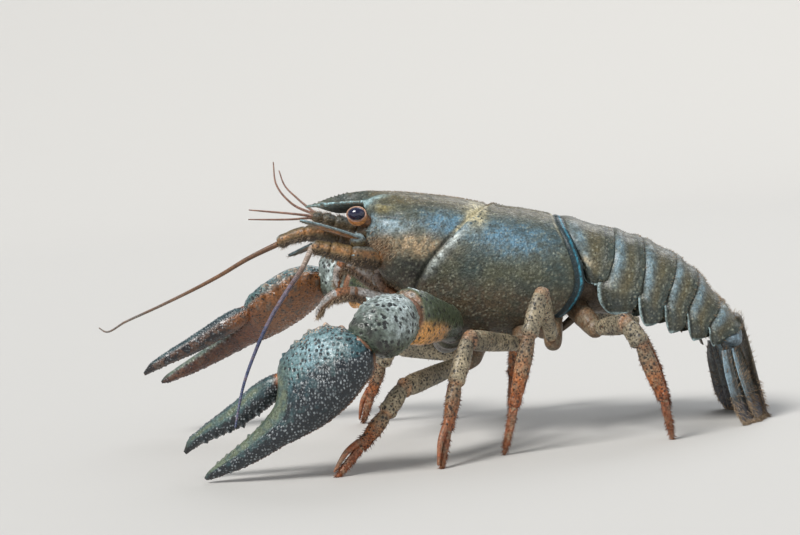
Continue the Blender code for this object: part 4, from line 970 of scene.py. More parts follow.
band_hair = []
for number in range(len(LOBES)):
    points, faces, values = grained(*band_sheet(number), 0.8, 0.05)
    shells = [(points, faces, BAND_FINISH, values)]
    lip = values["lip"] * (0.25 + 0.75 * smooth_step((points[:, 2] - 22) / 6))
    sowing = (lip, 260 + 90 * number, 20 + number, 0.9, (0.5, 0.0, -0.2), 0.34 + 0.11 * number, 0.055)
    band_hair.append(hairs_on(points, faces, *sowing))
    if number == 0:
        start, run, tall, wide = WAIST
        waist = np.array(start) + np.linspace(0.0, 1.0, 24)[:, None] * run
        shells.append((*closed_tube(rings_along(waist, tall, wide, 48)), SWIMMERET_FINISH, {}))
        for side in (-1, 1):
            rod = evenly(np.linspace(0.0, 1.0, 50), np.array(ROD) * (1, side, 1, 1))
            tube = closed_tube(rings_along(rod[:, :3], rod[:, 3], rod[:, 3], 20))
            shells.append((*tube, SWIMMERET_FINISH, {}))
    elif number < 5:
        shells += swimmeret_shells(number)
    band = lay_mesh(f"abdomen_band_{number + 1}", shells)
    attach(band, "root")
    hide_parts(f"somite_{number + 1}")
lay_bristles("abdomen_bristles", band_hair, BRISTLE_FINISH)

# Tail fan: the telson in the middle and two blades each side, thin stiff plates with ribs and a seam
# across near the end. Soft bristles fringe the rear edges, and each pair of blades has one short foot.
TELSON = dict(root=(72.2, 0.0, 22.4), tip=(77.0, 0.0, -0.2), half=5.6, thick=1.5, across=(0.0, -1.0, 0.0))
TELSON_OUTLINE = ((0.0, 0.85), (0.2, 1.0), (0.5, 0.98), (0.68, 0.9), (0.9, 0.8), (0.97, 0.68), (1.0, 0.5))
INNER_BLADE = dict(root=(70.6, 6.4, 16.1), tip=(75.0, 7.2, 0.2), half=4.0, thick=0.8, across=(-0.5, 1, 0))
OUTER_BLADE = dict(root=(68.6, 8.8, 15.9), tip=(71.8, 11.4, 0.1), half=4.1, thick=0.9, across=(-0.75, 1, 0))
# The foot's line as (share, x, y, z), and its sizes as (share, half height, half width).
UROPOD_FOOT = ((0.0, 70.5, 6.0, 20.4), (0.55, 70.15, 7.1, 18.35), (1.0, 69.85, 8.0, 16.85))
UROPOD_FOOT_SIZES = ((0.0, 1.3, 1.8), (0.15, 1.6, 2.1), (0.55, 1.8, 2.3), (0.9, 1.6, 2.0), (1.0, 1.1, 1.5))
FAN_FINISH = shell_finish(
    "fan_shell",
    dye(98, 98, 92),
    dye(76, 84, 92),
    layers=(
        ("brown", dye(92, 82, 66), 0.8),
        ("rib", dye(112, 122, 126), 0.5),
        ("furrow", dye(36, 40, 44), 0.8),
        ("edge", dye(148, 178, 194), 0.8),
        ("end", dye(76, 72, 86), 0.6),
        ("grain", dye(150, 148, 134), 0.3),
    ),
    spots=((1.1, 0.15, dye(44, 42, 46), 0.5, None),),
)


def fan_ribs(share, side):
    """A keel down the middle, a low rib each side of it, and the seam across near the end."""
    keel = 0.30 * bell(side, 0.10) + 0.16 * bell(np.abs(side) - 0.5, 0.12)
    raised = keel * (1 - 0.5 * share) - 0.14 * bell(share - 0.66, 0.018)
    return raised * smooth_step((1 - np.abs(side)) / 0.3)


def fan_shell(size, flip, outline):
    """One plate of the fan on its side of the animal (None for the middle), with its colours and fringe."""
    mirror = (1, flip or 1, 1)
    root, tip = (np.array(size[key]) * mirror for key in ("root", "tip"))
    across = np.array(size["across"]) * mirror * -(flip or -1)
    sizes = (size["half"], size["thick"])
    outer, inner, share, side = blade_sheet(root, tip, *sizes, across, outline, relief=fan_ribs)
    share, side = np.broadcast_arrays(share, side)
    values = dict(
        rib=bell(side, 0.12) + 0.6 * bell(np.abs(side) - 0.5, 0.14),
        furrow=bell(share - 0.66, 0.02) + 0.5 * bell(np.abs(side) - 0.25, 0.08),
        edge=smooth_step((side - 0.2) / 0.6) * smooth_step((0.8 - share) / 0.5) * (flip is not None),
        brown=0.3 + 0.7 * (flip is None) + 0 * share,
        end=smooth_step((share - 0.68) / 0.05),
    )
    points, faces = closed_sheet(outer, inner)
    doubled = {label: np.concatenate([value.ravel(), value.ravel()]) for label, value in values.items()}
    points, faces, doubled = grained(points, faces, doubled, 0.7, 0.04)
    margin = smooth_step((np.abs(side) - 0.93) / 0.03)
    fringe = smooth_step((share - 0.95) / 0.03) + margin * smooth_step((share - 0.55) / 0.2) + 0.04
    seed = 30 + len(fan_hair)
    roots, normals = sown(points, faces, np.tile(fringe.ravel(), 2), 620, seed)
    edge_ward = unit(roots - (root + (tip - root) * 0.6))
    lie = 0.7 * edge_ward + 0.25 * normals + (0.35, 0.0, 0.0)
    fan_hair.append((roots, lie, 1.25, 0.07, seed, 0.12))
    return points, faces, FAN_FINISH, doubled


fan_hair = []
telson = lay_mesh("telson_plate", [fan_shell(TELSON, None, TELSON_OUTLINE)])
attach(telson, "root")
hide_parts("telson")
for side_name, side in (("left", -1), ("right", 1)):
    for kind, size in (("inner", INNER_BLADE), ("outer", OUTER_BLADE)):
        blade = lay_mesh(f"fan_blade_{side_name}_{kind}", [fan_shell(size, side, LEAF_OUTLINE)])
        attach(blade, "root")
        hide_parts(f"uropod_{side_name}_{kind}")
    share = np.linspace(0, 1, 24)
    foot = through(share, np.array(UROPOD_FOOT) * (1, 1, side, 1))
    size = through(share, UROPOD_FOOT_SIZES)
    tube = grained(*closed_tube(rings_along(foot, size[:, 0], size[:, 1], 40)), {}, 0.7, 0.05)
    base = lay_mesh(f"fan_foot_{side_name}", [(tube[0], tube[1], FAN_FINISH, dict(tube[2], edge=0.35))])
    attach(base, "root")
    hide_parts(f"uropod_{side_name}_base")
lay_bristles("fan_fringe", fan_hair, BRISTLE_FINISH)

# Great claws: the palm with its fixed finger, the hinged finger, the wrist and the arm. The hard
# shell is studded with grains, blue-green above with sunk pits painted dark as shade and red-brown
# below, and soft skin shows at each joint. A painted highlight lies on the wrist's upper side.

# The arms and wrists are rows of (x, y, z, half height, half width), from the body outwards.
ARM_LEFT = (
    (9.6, -4.6, 27.0, 3.2, 3.0),
    (8.8, -9.5, 22.8, 3.2, 3.0),
    (9.6, -14.0, 24.4, 3.0, 2.8),
    (9.6, -18.0, 26.6, 3.4, 2.8),
    (6.2, -25.0, 28.2, 4.6, 3.4),
    (2.8, -32.0, 29.6, 5.6, 4.0),
    (0.2, -37.0, 30.6, 5.2, 4.0),
)
CARPUS_LEFT = (
    (0.2, -37.0, 30.6, 4.6, 3.8),
    (-2.2, -40.4, 29.8, 5.9, 4.9),
    (-5.0, -43.4, 28.8, 6.1, 5.3),
    (-7.4, -45.4, 27.4, 4.6, 4.2),
)
PALM_JOINT_LEFT = np.array([-8.6, -46.0, 26.3])
CLAW_TIP_LEFT = np.array([-41.6, -40.0, 0.7])
CLAW_ACROSS_LEFT = np.array([-8.4, 10.0, 12.1])
ARM_RIGHT = (
    (9.6, 4.6, 27.0, 3.2, 3.0),
    (9.0, 9.5, 21.8, 3.2, 3.0),
    (8.0, 14.5, 23.8, 3.0, 2.8),
    (5.4, 17.6, 25.8, 3.4, 2.8),
    (-0.8, 22.0, 28.6, 4.6, 3.4),
    (-6.6, 26.2, 31.4, 5.6, 4.0),
    (-10.2, 28.8, 33.0, 5.2, 4.0),
)
CARPUS_RIGHT = (
    (-10.2, 28.8, 33.0, 4.6, 3.8),
    (-12.6, 31.0, 34.2, 5.9, 4.9),
    (-15.0, 32.6, 34.8, 6.0, 5.2),
    (-16.8, 33.6, 34.4, 4.6, 4.2),
)
PALM_JOINT_RIGHT = np.array([-17.9, 34.0, 34.6])
CLAW_TIP_RIGHT = np.array([-57.6, 38.0, 12.0])
CLAW_ACROSS_RIGHT = np.array([-0.30, -0.79, 0.50])
CLAW_LENGTH = 42.7
CLAW_TEETH = 13
LARGE_TEETH = (3, 6)
CREST_KNOBS = 9
# Spines of the arm and the wrist: share of the way along, lean to the side; share, height, radius.
ARM_SPINES = ((0.80, 0.5), (0.88, -0.2), (0.66, 0.35))
WRIST_SPINES = ((0.55, 2.0, 0.95), (0.8, 1.4, 0.7))
# Rows along the claw: distance from the wrist, outer edge, inner edge, half thickness.
PALM_ROWS = (
    (-0.9, -3.0, 1.8, 2.4),
    (0.8, -5.3, 5.0, 3.8),
    (4.8, -6.8, 8.9, 4.8),
    (9.5, -7.7, 9.7, 5.2),
    (14.0, -7.8, 9.4, 4.9),
    (17.0, -7.4, 7.9, 4.4),
    (19.0, -7.0, 4.9, 3.7),
    (21.1, -6.5, 2.8, 3.0),
    (25.1, -5.4, 1.4, 2.6),
    (30.0, -4.4, 0.9, 2.3),
    (34.7, -3.2, 1.0, 1.9),
    (39.0, -1.6, 1.1, 1.4),
    (42.0, -0.4, 1.0, 0.8),
    (42.9, 0.1, 0.7, 0.3),
)
DACTYL_ROWS = (
    (16.6, 4.4, 7.2, 1.5),
    (20.0, 4.0, 8.4, 2.5),
    (23.0, 3.8, 9.0, 2.6),
    (27.0, 4.2, 9.1, 2.4),
    (31.0, 4.6, 9.4, 2.1),
    (35.0, 5.9, 9.75, 1.8),
    (39.0, 7.2, 9.95, 1.4),
    (41.5, 7.7, 9.9, 1.1),
    (43.8, 7.8, 8.6, 0.4),
)
CLAW_FINISH = shell_finish(
    "claw_shell",
    dye(54, 90, 98),
    dye(82, 114, 114),
    layers=(
        ("sheen", dye(150, 184, 194), 0.7),
        ("under", dye(136, 86, 44), 0.95),
        ("rust", dye(92, 46, 26), 0.85),
        ("dusk", dye(12, 20, 30), 0.96),
        ("olive", dye(100, 110, 90), 0.95),
        # painted shade in the pits of the upper face
        ("pit", dye(10, 18, 24), 0.95),
        ("knob", dye(146, 154, 158), 0.9),
        ("blush", dye(214, 182, 154), 0.85),
        ("black", dye(16, 16, 20), 0.9),
        ("orange", dye(224, 128, 44), 0.95),
    ),
    spots=((0.85, 0.24, dye(26, 20, 18), 0.85, "under"),),
    roughness=(0.24, 0.46),
    coat=0.3,
)


def claw_frame(joint, tip, across, hand, breadth):
    """Directions along, across and out of the claw's upper face, each as long as its own scale."""
    along = unit(tip - joint)
    across = unit(across - along * np.dot(across, along))
    dorsal = np.cross(across, along) * hand
    return along * np.linalg.norm(tip - joint) / CLAW_LENGTH, across * breadth, dorsal * breadth


def claw_shell(rows, joint, frame_axes, count, sides, finger, seed):
    """Rings of a claw part in its own frame: a along, b across, n out of the upper face.

    A ring is a superellipse between the rows' two edges. Grains, pits, teeth and the crest's knobs,
    each a bell or a smooth step of the distance from its place, are raised along the normals, and the
    colours follow the same three lengths.
    """
    along, over, dorsal = frame_axes
    ends = 1 - np.cos(np.linspace(0.0, math.pi, count))
    a = rows[0][0] + (rows[-1][0] - rows[0][0]) * (0.75 * np.linspace(0, 1, count) + 0.125 * ends)
    outer_edge, inner_edge, thick = np.moveaxis(through(a, rows), -1, 0)
    side, up = circle(sides, 2.2)
    b = ((outer_edge + inner_edge) / 2)[:, None] + ((inner_edge - outer_edge) / 2)[:, None] * up[None, :]
    n = thick[:, None] * side[None, :]
    a = a[:, None] + 0 * b
    local = np.stack([a, b, n], axis=-1)
    points, faces = closed_tube(joint + a[..., None] * along + b[..., None] * over + n[..., None] * dorsal)
    middle = local[[0, -1]].mean(axis=1)
    a, b, n = np.concatenate([local.reshape(-1, 3), middle]).T
    low, high, deep = np.moveaxis(through(a, rows), -1, 0)
    share = (b - low) / np.maximum(high - low, 0.2)
    above = smooth_step((n / np.maximum(deep, 0.3) + 0.35) / 0.5)
    if finger:
        smooth = bell(share - 0.54, 0.15) * above * smooth_step((a - 19) / 4)
        knobs = np.maximum(smooth_step((0.42 - share) / 0.15), 0.75 * smooth_step((share - 0.66) / 0.12))
        upper = 0 * share
    else:
        on_finger = smooth_step((a - 12) / 7)
        smooth = smooth_step((share - 0.42 - 0.2 * (1 - on_finger)) / 0.12) * above * on_finger
        smooth *= 1 - smooth_step((share - 0.86) / 0.1) * smooth_step((19 - a) / 2)
        edge_line = through(a, ((0.0, 0.16), (5.0, 0.36), (12.0, 0.47), (20.0, 0.46), (44.0, 0.46)))
        knobs = smooth_step((edge_line - share) / 0.10 + 0.5)
        upper = 1 - knobs
    distance, draw = cells(points, 0.58, seed)
    grain = smooth_step((0.12 + 0.11 * draw - distance) / 0.12 + 0.5)
    hollow, hollow_draw = cells(points, 0.92, seed + 5.0)
    pit = smooth_step((0.27 + 0.12 * hollow_draw - hollow) / 0.14 + 0.5) * upper * above * (1 - smooth)
    rough = (1 - 0.93 * smooth) * smooth_step((44 - a) / 3)
    height = 0.17 * grain * rough * (0.35 + 0.65 * knobs) * (1 - 0.8 * pit) - 0.15 * pit
    height += 0.10 * bell(share - 0.7, 0.12) * smooth_step((a - 18) / 3)
    tooth_b = low if finger else high
    teeth = 0 * a
    for number in range(CLAW_TEETH):
        place = 21.6 + 1.45 * number + 0.25 * math.sin(5.1 * number)
        size = 0.85 if number in LARGE_TEETH else 0.42 + 0.12 * math.sin(3.3 * number)
        teeth += size * bell(a - place, 0.45) * bell(b - tooth_b, 0.8) * bell(n, 0.75)
    crest = 0 * a
    if not finger:
        for number in range(CREST_KNOBS):
            place = 2.0 + 1.75 * number
            lean = 1.1 if number % 2 else -1.1
            crest += 0.85 * bell(a - place, 0.55) * bell(b - high, 0.9) * bell(n - lean, 0.75)
            crest += 0.6 * bell(a - place - 0.9, 0.5) * bell(b - high, 1.2) * bell(n - 2.3 * lean, 0.65)
    points = points + normals_of(points, faces) * (height + teeth + crest)[:, None]
    on_hinge = (17.6, 1.6) if finger else (19.4, 2.2)
    ventral = 0.7 * smooth_step((a - 18) / 5)
    knobbed = grain * rough * (0.12 + 0.88 * knobs) * np.maximum(0.2 + 0.8 * above, ventral)
    values = dict(
        dusk=knobs * above * (0.85 + 1.3 * smooth_step((0.34 - share) / 0.3))
        + (1 - above) * smooth_step((a - 20) / 5) * (0.9 if finger else 0.3),
        under=1.35 * (1 - above),
        rust=(1 - above) * smooth_step((a - 12) / 9) * (0.4 if finger else 1.0),
        olive=smooth,
        knob=np.clip(knobbed + 0.8 * teeth, 0, 1),
        # painted shade in the sunk pits
        pit=1.5 * pit,
        sheen=bell(a - 7.0, 6.0) * bell(share - 0.68, 0.27) * above * (0.0 if finger else 1.0),
        blush=0.0 if finger else np.clip(crest + grain * smooth_step((share - 0.8) / 0.1), 0, 1)
        * smooth_step((14 - a) / 6) * above,
        black=smooth_step((a - 40.2) / 2.0) * 0.9,
        orange=bell(a - on_hinge[0], 1.0) * bell(b - 5.6, 1.3) * bell(n - on_hinge[1], 1.5),
    )
    return points, faces, CLAW_FINISH, values


CLAWS = (
    ("left", PALM_JOINT_LEFT, CLAW_TIP_LEFT, CLAW_ACROSS_LEFT, 1, 1.0),
    ("right", PALM_JOINT_RIGHT, CLAW_TIP_RIGHT, CLAW_ACROSS_RIGHT, -1, 0.88),
)
for side_name, joint, tip, across, hand, breadth in CLAWS:
    frame_axes = claw_frame(joint, tip, across, hand, breadth)
    palm_shell = claw_shell(PALM_ROWS, joint, frame_axes, 300, 240, False, 1.0)
    palm = lay_mesh(f"claw_palm_{side_name}", [palm_shell])
    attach(palm, "root")
    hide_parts(f"cheliped_{side_name}_palm")
    finger_shell = claw_shell(DACTYL_ROWS, joint, frame_axes, 220, 130, True, 2.0)
    finger = lay_mesh(f"claw_finger_{side_name}", [finger_shell])
    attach(finger, "root")
    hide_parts(f"cheliped_{side_name}_finger")

ARM_FINISH = shell_finish(
    "arm_shell",
    dye(92, 106, 88),
    dye(58, 70, 58),
    layers=(
        # pale: a painted highlight on the wrist's upper side, and the spines' own pale colour
        ("pale", dye(204, 220, 222), 0.85),
        ("under", dye(232, 168, 94), 0.95),
        ("olive", dye(84, 96, 66), 0.75),
        ("knob", dye(196, 206, 192), 0.4),
        ("joint", dye(150, 112, 92), 0.8),
        # painted shade in the sunk pits
        ("pit", dye(20, 24, 26), 0.95),
        ("dusk", dye(34, 32, 30), 0.85),
    ),
    roughness=(0.25, 0.45),
    coat=0.3,
)
JOINT_FINISH = shell_finish(
    "joint_skin", dye(140, 98, 70), dye(112, 72, 50), roughness=(0.35, 0.5), coat=0.25
)


def reach_along(rows):
    """Distance of each row's point from the first, along the straight lines between them."""
    return np.concatenate([[0.0], np.cumsum(np.linalg.norm(np.diff(rows[:, :3], axis=0), axis=1))])


def segment(rows, count, sides, rim=0.5):
    """One tubular segment along rows of (x, y, z, half height, half width).

    Its sizes are the rows' own, drawn in along a quarter circle at both ends to 0.45 of themselves,
    with a raised rim and a sunk ring before the far joint. Each point's share of the length and its
    facing, 1 at the top and -1 below, come with it.
    """
    rows = np.asarray(rows, float)
    reach = reach_along(rows)
    q = np.linspace(0.0, 1.0, count)
    q = 0.5 * q + 0.25 * (1 - np.cos(math.pi * q))
    line = through(q * reach[-1], np.column_stack([reach, rows]))
    end = np.clip(np.minimum(q, 1 - q) * reach[-1] / 0.9, 0.0, 1.0)
    swell = 0.45 + 0.55 * np.sqrt(1 - (1 - end) ** 2)
    short = (q - 1) * reach[-1]
    collar = rim * bell(short + 1.3, 0.6) - 0.6 * rim * bell(short + 2.7, 0.7)
    heights, widths = line[:, 3] * swell + collar, line[:, 4] * swell + collar
    rings = rings_along(line[:, :3], heights, widths, sides, power=2.15)
    share = np.concatenate([np.repeat(q, sides), [0.0, 1.0]])
    angle = np.tile(2 * math.pi * np.arange(sides) / sides, count)
    facing = np.concatenate([np.cos(angle), [0.0, 0.0]])
    return *closed_tube(rings), share, facing


def studded(points, faces, size, rise, seed, hole=0.20):
    """The points with a round grain raised and a pit sunk along the normals in each cell of a size.

    A grain and a pit are smooth steps of the distance from their centres. Both come with the points.
    """
    distance, draw = cells(points, size, seed)
    grain = smooth_step(1 - distance / (size * (0.28 + 0.26 * draw)))
    hollow, hollow_draw = cells(points, size, seed + 3.0)
    pit = smooth_step((hole + 0.22 * hollow_draw - hollow) / 0.14 + 0.5)
    height = rise * grain * (1 - 0.7 * pit) - 0.6 * rise * pit
    return points + normals_of(points, faces) * height[:, None], grain, pit


for side_name, arm, carpus, joint, side in (
    ("left", ARM_LEFT, CARPUS_LEFT, PALM_JOINT_LEFT, -1),
    ("right", ARM_RIGHT, CARPUS_RIGHT, PALM_JOINT_RIGHT, 1),
):
    shells = []
    points, faces, share, facing = segment(arm[2:], 130, 110, 0.45)
    points, grain, pit = studded(points, faces, 1.1, 0.14, 4.0)
    low = smooth_step((0.05 - facing) / 0.5)
    values = dict(
        under=1.6 * low * smooth_step((share - 0.35) / 0.3),
        olive=1 - low,
        knob=grain * (1 - low),
        # painted shade in the sunk pits
        pit=1.8 * pit,
        joint=smooth_step((share - 0.96) / 0.03) + smooth_step((0.1 - share) / 0.05),
        dusk=smooth_step((0.32 - share) / 0.25) * low,
    )
    shells.append((points, faces, ARM_FINISH, values))
    base_points, base_faces, *_ = segment(arm[:3], 40, 60, 0.3)
    shells.append((base_points, base_faces, ARM_FINISH, dict(dusk=0.5, joint=0.3)))
    for place, lean in ARM_SPINES:
        at = evenly(place, arm[2:])
        foot = at[:3] + np.array([0.2, side * lean, 1.0]) * (at[4], at[4], at[3] - 0.5)
        shells.append((*spike(foot, foot + (-0.9, side * 0.2, 1.1), 0.7), ARM_FINISH, dict(pale=1.0)))
    upper = lay_mesh(f"claw_arm_{side_name}", shells)
    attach(upper, "root")
    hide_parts(f"cheliped_{side_name}_arm")
    wrist_rows = np.array(carpus + ((*joint, 3.2, 3.0),))
    points, faces, share, facing = segment(wrist_rows, 110, 120, 0.3)
    points, grain, pit = studded(points, faces, 1.15, 0.3, 6.0, 0.22)
    low = smooth_step((-0.1 - facing) / 0.6)
    values = dict(
        # painted highlight on the wrist's upper middle, brighter on the grains
        pale=(1 - low) * bell(share - 0.4, 0.32) * (0.85 + 0.5 * grain),
        olive=low * 0.7,
        knob=grain * (1 - low),
        # painted shade in the sunk pits
        pit=1.7 * pit * (1 - 0.4 * low),
        dusk=np.maximum(low * smooth_step((share - 0.6) / 0.2), 0.9 * bell(share - 0.9, 0.05)),
        joint=smooth_step((0.08 - share) / 0.04),
    )
    shells = [(points, faces, ARM_FINISH, values)]
    inward = np.array([-0.35, -0.25 * side, 0.9])
    for place, tall, radius in WRIST_SPINES:
        at = evenly(place, carpus)
        foot = at[:3] + inward * (at[3] - 0.9)
        spine = spike(foot, foot + unit(inward + (-0.5, 0, 0)) * tall, radius)
        shells.append((*spine, ARM_FINISH, dict(pale=0.6)))
    ball = np.linspace(-0.95, 0.95, 16)
    elbow = np.array(carpus[0][:3])
    bead = elbow + np.array([-0.18 * side, 3.4 * side, -0.4])
    for middle, radius in ((elbow, 3.9), (bead, 1.0), (np.array(joint), 2.6)):
        path = np.asarray(middle) + ball[:, None] * radius * unit(np.array([-0.7, 0.7 * side, 0.1]))
        size = radius * np.sqrt(1 - ball**2)
        shells.append((*closed_tube(rings_along(path, size, size, 32)), JOINT_FINISH, {}))
    lower = lay_mesh(f"claw_wrist_{side_name}", shells)
    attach(lower, "root")
    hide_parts(f"cheliped_{side_name}_carpus")

# Walking legs: four each side, of a short hip, a long thigh, a knee piece, a shin and a toe, all thin
# tubes of shell with a dark speckle, hinged in pale orange skin. The first two pairs end in pincers.
# Each leg gives six joints: hip, thigh and knee, then shin, toe and the toe's tip.
LEGS = {
    "leg_2_left": (
        ((17.2, -4.6, 24.5), (13.9, -12.6, 18.2), (-1.3, -34.0, 15.6)),
        ((-4.9, -38.0, 11.2), (-10.4, -41.5, 5.2), (-15.6, -44.0, -0.2)),
    ),
    "leg_3_left": (
        ((25.6, -4.6, 25.0), (24.8, -14.0, 20.8), (12.8, -32.0, 24.4)),
        ((9.6, -36.6, 16.2), (7.2, -40.2, 7.0), (5.4, -42.6, -0.2)),
    ),
    "leg_4_left": (
        ((32.0, -4.6, 26.0), (31.3, -14.0, 20.8), (28.6, -27.0, 32.4)),
        ((25.4, -30.4, 24.2), (21.2, -31.4, 9.6), (18.6, -30.6, -0.2)),
    ),
    "leg_5_left": (
        ((36.4, -4.6, 28.0), (40.4, -13.6, 23.0), (46.0, -25.6, 24.8)),
        ((48.6, -27.2, 20.4), (52.6, -26.6, 8.4), (54.0, -25.6, -0.2)),
    ),
    "leg_2_right": (
        ((17.2, 4.6, 24.5), (14.3, 13.0, 16.0), (-3.1, 24.0, 18.4)),
        ((-5.9, 26.2, 14.2), (-8.8, 29.0, 6.6), (-11.2, 30.8, -0.2)),
    ),
    "leg_3_right": (
        ((25.6, 4.6, 25.0), (24.4, 13.6, 19.6), (14.6, 26.0, 23.0)),
        ((12.4, 27.6, 16.2), (10.4, 27.8, 6.6), (9.6, 27.0, -0.2)),
    ),
    "leg_4_right": (
        ((32.0, 4.6, 26.0), (31.2, 13.6, 20.6), (28.8, 26.6, 28.0)),
        ((26.8, 28.6, 21.6), (24.2, 28.8, 8.6), (23.2, 28.0, -0.2)),
    ),
    "leg_5_right": (
        ((36.4, 4.6, 28.0), (40.4, 13.2, 23.0), (49.6, 22.0, 23.4)),
        ((52.6, 23.2, 19.0), (57.6, 22.8, 7.8), (59.4, 22.0, -0.2)),
    ),
}
# Rows of joint number, share of the way to the next joint, half height and half width.
HIP_SHAPE = ((0, 0.0, 2.5, 2.3), (0, 0.7, 2.3, 2.1), (1, 0.0, 1.9, 1.8), (1, 0.12, 1.6, 1.4))
THIGH_SHAPE = (
    (1, 0.1, 1.5, 1.3),
    (1, 0.3, 1.8, 1.4),
    (1, 0.65, 2.1, 1.55),
    (1, 0.9, 2.1, 1.6),
    (1, 1.02, 1.7, 1.4),
)
KNEE_SHAPE = ((2, -0.02, 1.5, 1.25), (2, 0.25, 1.85, 1.5), (2, 0.8, 1.95, 1.6), (2, 1.06, 1.5, 1.3))
SHIN_SHAPE = ((3, -0.03, 1.2, 1.0), (3, 0.2, 1.6, 1.3), (3, 0.7, 1.45, 1.1), (3, 1.0, 1.1, 0.9))
TOE_SHAPE = ((4, -0.03, 0.95, 0.75), (4, 0.4, 0.85, 0.7), (4, 0.8, 0.55, 0.5), (4, 1.0, 0.25, 0.25))
LEG_FINISH = shell_finish(
    "leg_shell",
    dye(178, 164, 136),
    dye(132, 124, 106),
    layers=(
        ("dusk", dye(70, 60, 46), 0.75),
        ("brown", dye(128, 84, 48), 0.8),
        ("orange", dye(178, 102, 46), 0.85),
        ("red", dye(142, 66, 30), 0.9),
        ("grain", dye(208, 196, 172), 0.4),
    ),
    spots=((0.62, 0.31, dye(24, 20, 18), 0.92, "speckle"), (1.3, 0.28, dye(34, 34, 34), 0.85, "speckle")),
    roughness=(0.38, 0.55),
)


def leg_rows(joints, shape):
    """A segment's rows: each a point part of the way from one joint to the next, with its sizes."""
    shape = np.asarray(shape)
    index = shape[:, 0].astype(int)
    after = np.minimum(index + 1, len(joints) - 1)
    path = joints[index] + (joints[after] - joints[index]) * shape[:, 1:2]
    return np.column_stack([path, shape[:, 2:]])


def ball_shell(middle, radius, sides=24, rows=14):
    """A sphere of rings whose radius is sqrt(1 - u^2) of its own."""
    u = np.sin(np.linspace(-1.45, 1.45, rows))
    path = np.asarray(middle) + u[:, None] * (0.0, radius, 0.0)
    size = radius * np.sqrt(1 - u**2)
    return closed_tube(rings_along(path, size, size, sides))


LEG_BRISTLE_FINISH = shell_finish(
    "leg_bristle", dye(158, 92, 50), dye(112, 66, 40), roughness=(0.5, 0.7), coat=0.0, grit=0.1
)
leg_hair = []
for leg_name, joints in LEGS.items():
    joints = np.asarray(joints, float).reshape(-1, 3)
    shells = []
    for shape, rings, collar, hairs, tone in (
        (HIP_SHAPE, 40, 0.15, 0, dict(dusk=0.9, brown=0.4)),
        (THIGH_SHAPE, 90, 0.22, 60, dict(speckle=1.0)),
        (KNEE_SHAPE, 44, 0.2, 50, dict(speckle=1.0)),
        (SHIN_SHAPE, 70, 0.12, 300, dict(speckle=1.0, brown=0.55)),
        (TOE_SHAPE, 44, 0.0, 330, dict(orange=0.5, red=0.6)),
    ):
        points, faces, share, facing = segment(leg_rows(joints, shape), rings, 40, collar)
        distance, draw = cells(points, 0.8, 8.0)
        grain = smooth_step(1 - distance / (0.2 + 0.2 * draw))
        points = points + normals_of(points, faces) * (0.06 * grain)[:, None]
        values = {label: np.full(len(points), level) for label, level in tone.items()}
        values["grain"] = grain
        if shape is not HIP_SHAPE:
            ends = smooth_step((share - 0.88) / 0.1) + smooth_step((0.1 - share) / 0.08)
            values["orange"] = values.get("orange", 0.0) + 0.45 * ends
        if shape is SHIN_SHAPE:
            values["orange"] = np.maximum(values["orange"], smooth_step((share - 0.2) / 0.6))
            values["red"] = 0.6 * smooth_step((share - 0.6) / 0.4)
        shells.append((points, faces, LEG_FINISH, values))
        if hairs:
            seed = 40 + len(leg_hair)
            down = 0.7 * unit(joints[-1] - joints[3])
            length = 0.42 + 0.28 * (shape in (SHIN_SHAPE, TOE_SHAPE))
            leg_hair.append(hairs_on(points, faces, 0.15 + share, hairs, seed, 1.0, down, length, 0.065))
    for index, radius in ((2, 1.4), (3, 1.1), (4, 0.8)):
        shells.append((*ball_shell(joints[index], radius), LEG_FINISH, dict(orange=0.35, speckle=0.6)))
    if leg_name[:5] in ("leg_2", "leg_3"):
        heel, toe = joints[4], joints[5]
        along = unit(toe - heel)
        front = unit(np.cross(np.cross(along, (0.0, 0.0, 1.0)), along))
        start = heel - along * 1.2 + front * 0.9
        middle = heel + along * 2.2 + front * 1.75
        end = toe - along * 0.6 + front * 1.25
        rows = [(*start, 0.75, 0.75), (*middle, 0.62, 0.62), (*end, 0.25, 0.25)]
        points, faces, *_ = segment(rows, 40, 30, 0.0)
        shells.append((points, faces, LEG_FINISH, dict(orange=0.5, red=0.6)))
    leg = lay_mesh(leg_name, shells)
    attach(leg, "root")
    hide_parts(leg_name + "_upper", leg_name + "_lower")
lay_bristles("leg_bristles", leg_hair, LEG_BRISTLE_FINISH)

# Feelers: each long antenna is a whip of hundreds of short rings on a three-piece stalk under a
# scale, and each small antennule has two fine whips. They are thin shell, and the long ones change
# colour towards the tip.

# Whips and stalks are rows of (x, y, z, radius), from the root outwards.
ANTENNA_LEFT = (
    (-18.4, -9.0, 44.2, 1.0),
    (-20.8, -13.5, 39.9, 0.85),
    (-23.4, -19.5, 36.6, 0.75),
    (-27.0, -30.0, 31.6, 0.65),
    (-30.0, -40.0, 26.0, 0.55),
    (-32.6, -48.0, 19.4, 0.45),
    (-34.2, -53.0, 12.6, 0.32),
)
ANTENNA_RIGHT = (
    (-26.6, 8.2, 44.4, 1.0),
    (-33.4, 9.6, 41.6, 0.8),
    (-40.2, 12.0, 38.1, 0.7),
    (-54.8, 18.0, 31.7, 0.5),
    (-63.4, 22.0, 28.3, 0.4),
    (-68.7, 26.0, 26.0, 0.3),
    (-70.3, 28.0, 26.8, 0.22),
)
PEDUNCLE_LEFT = (
    (-4.6, -7.4, 40.2, 2.4),
    (-7.6, -8.8, 41.2, 2.5),
    (-10.4, -9.2, 42.0, 2.1),
    (-13.6, -9.1, 43.0, 1.9),
    (-16.6, -9.0, 43.8, 1.6),
    (-18.6, -9.0, 44.2, 1.35),
)
PEDUNCLE_RIGHT = (
    (-4.6, 7.4, 40.2, 2.4),
    (-7.6, 8.4, 42.0, 2.5),
    (-11.6, 8.2, 44.6, 2.1),
    (-17.0, 7.4, 46.2, 1.9),
    (-22.4, 7.6, 46.0, 1.6),
    (-26.6, 8.1, 44.6, 1.35),
)
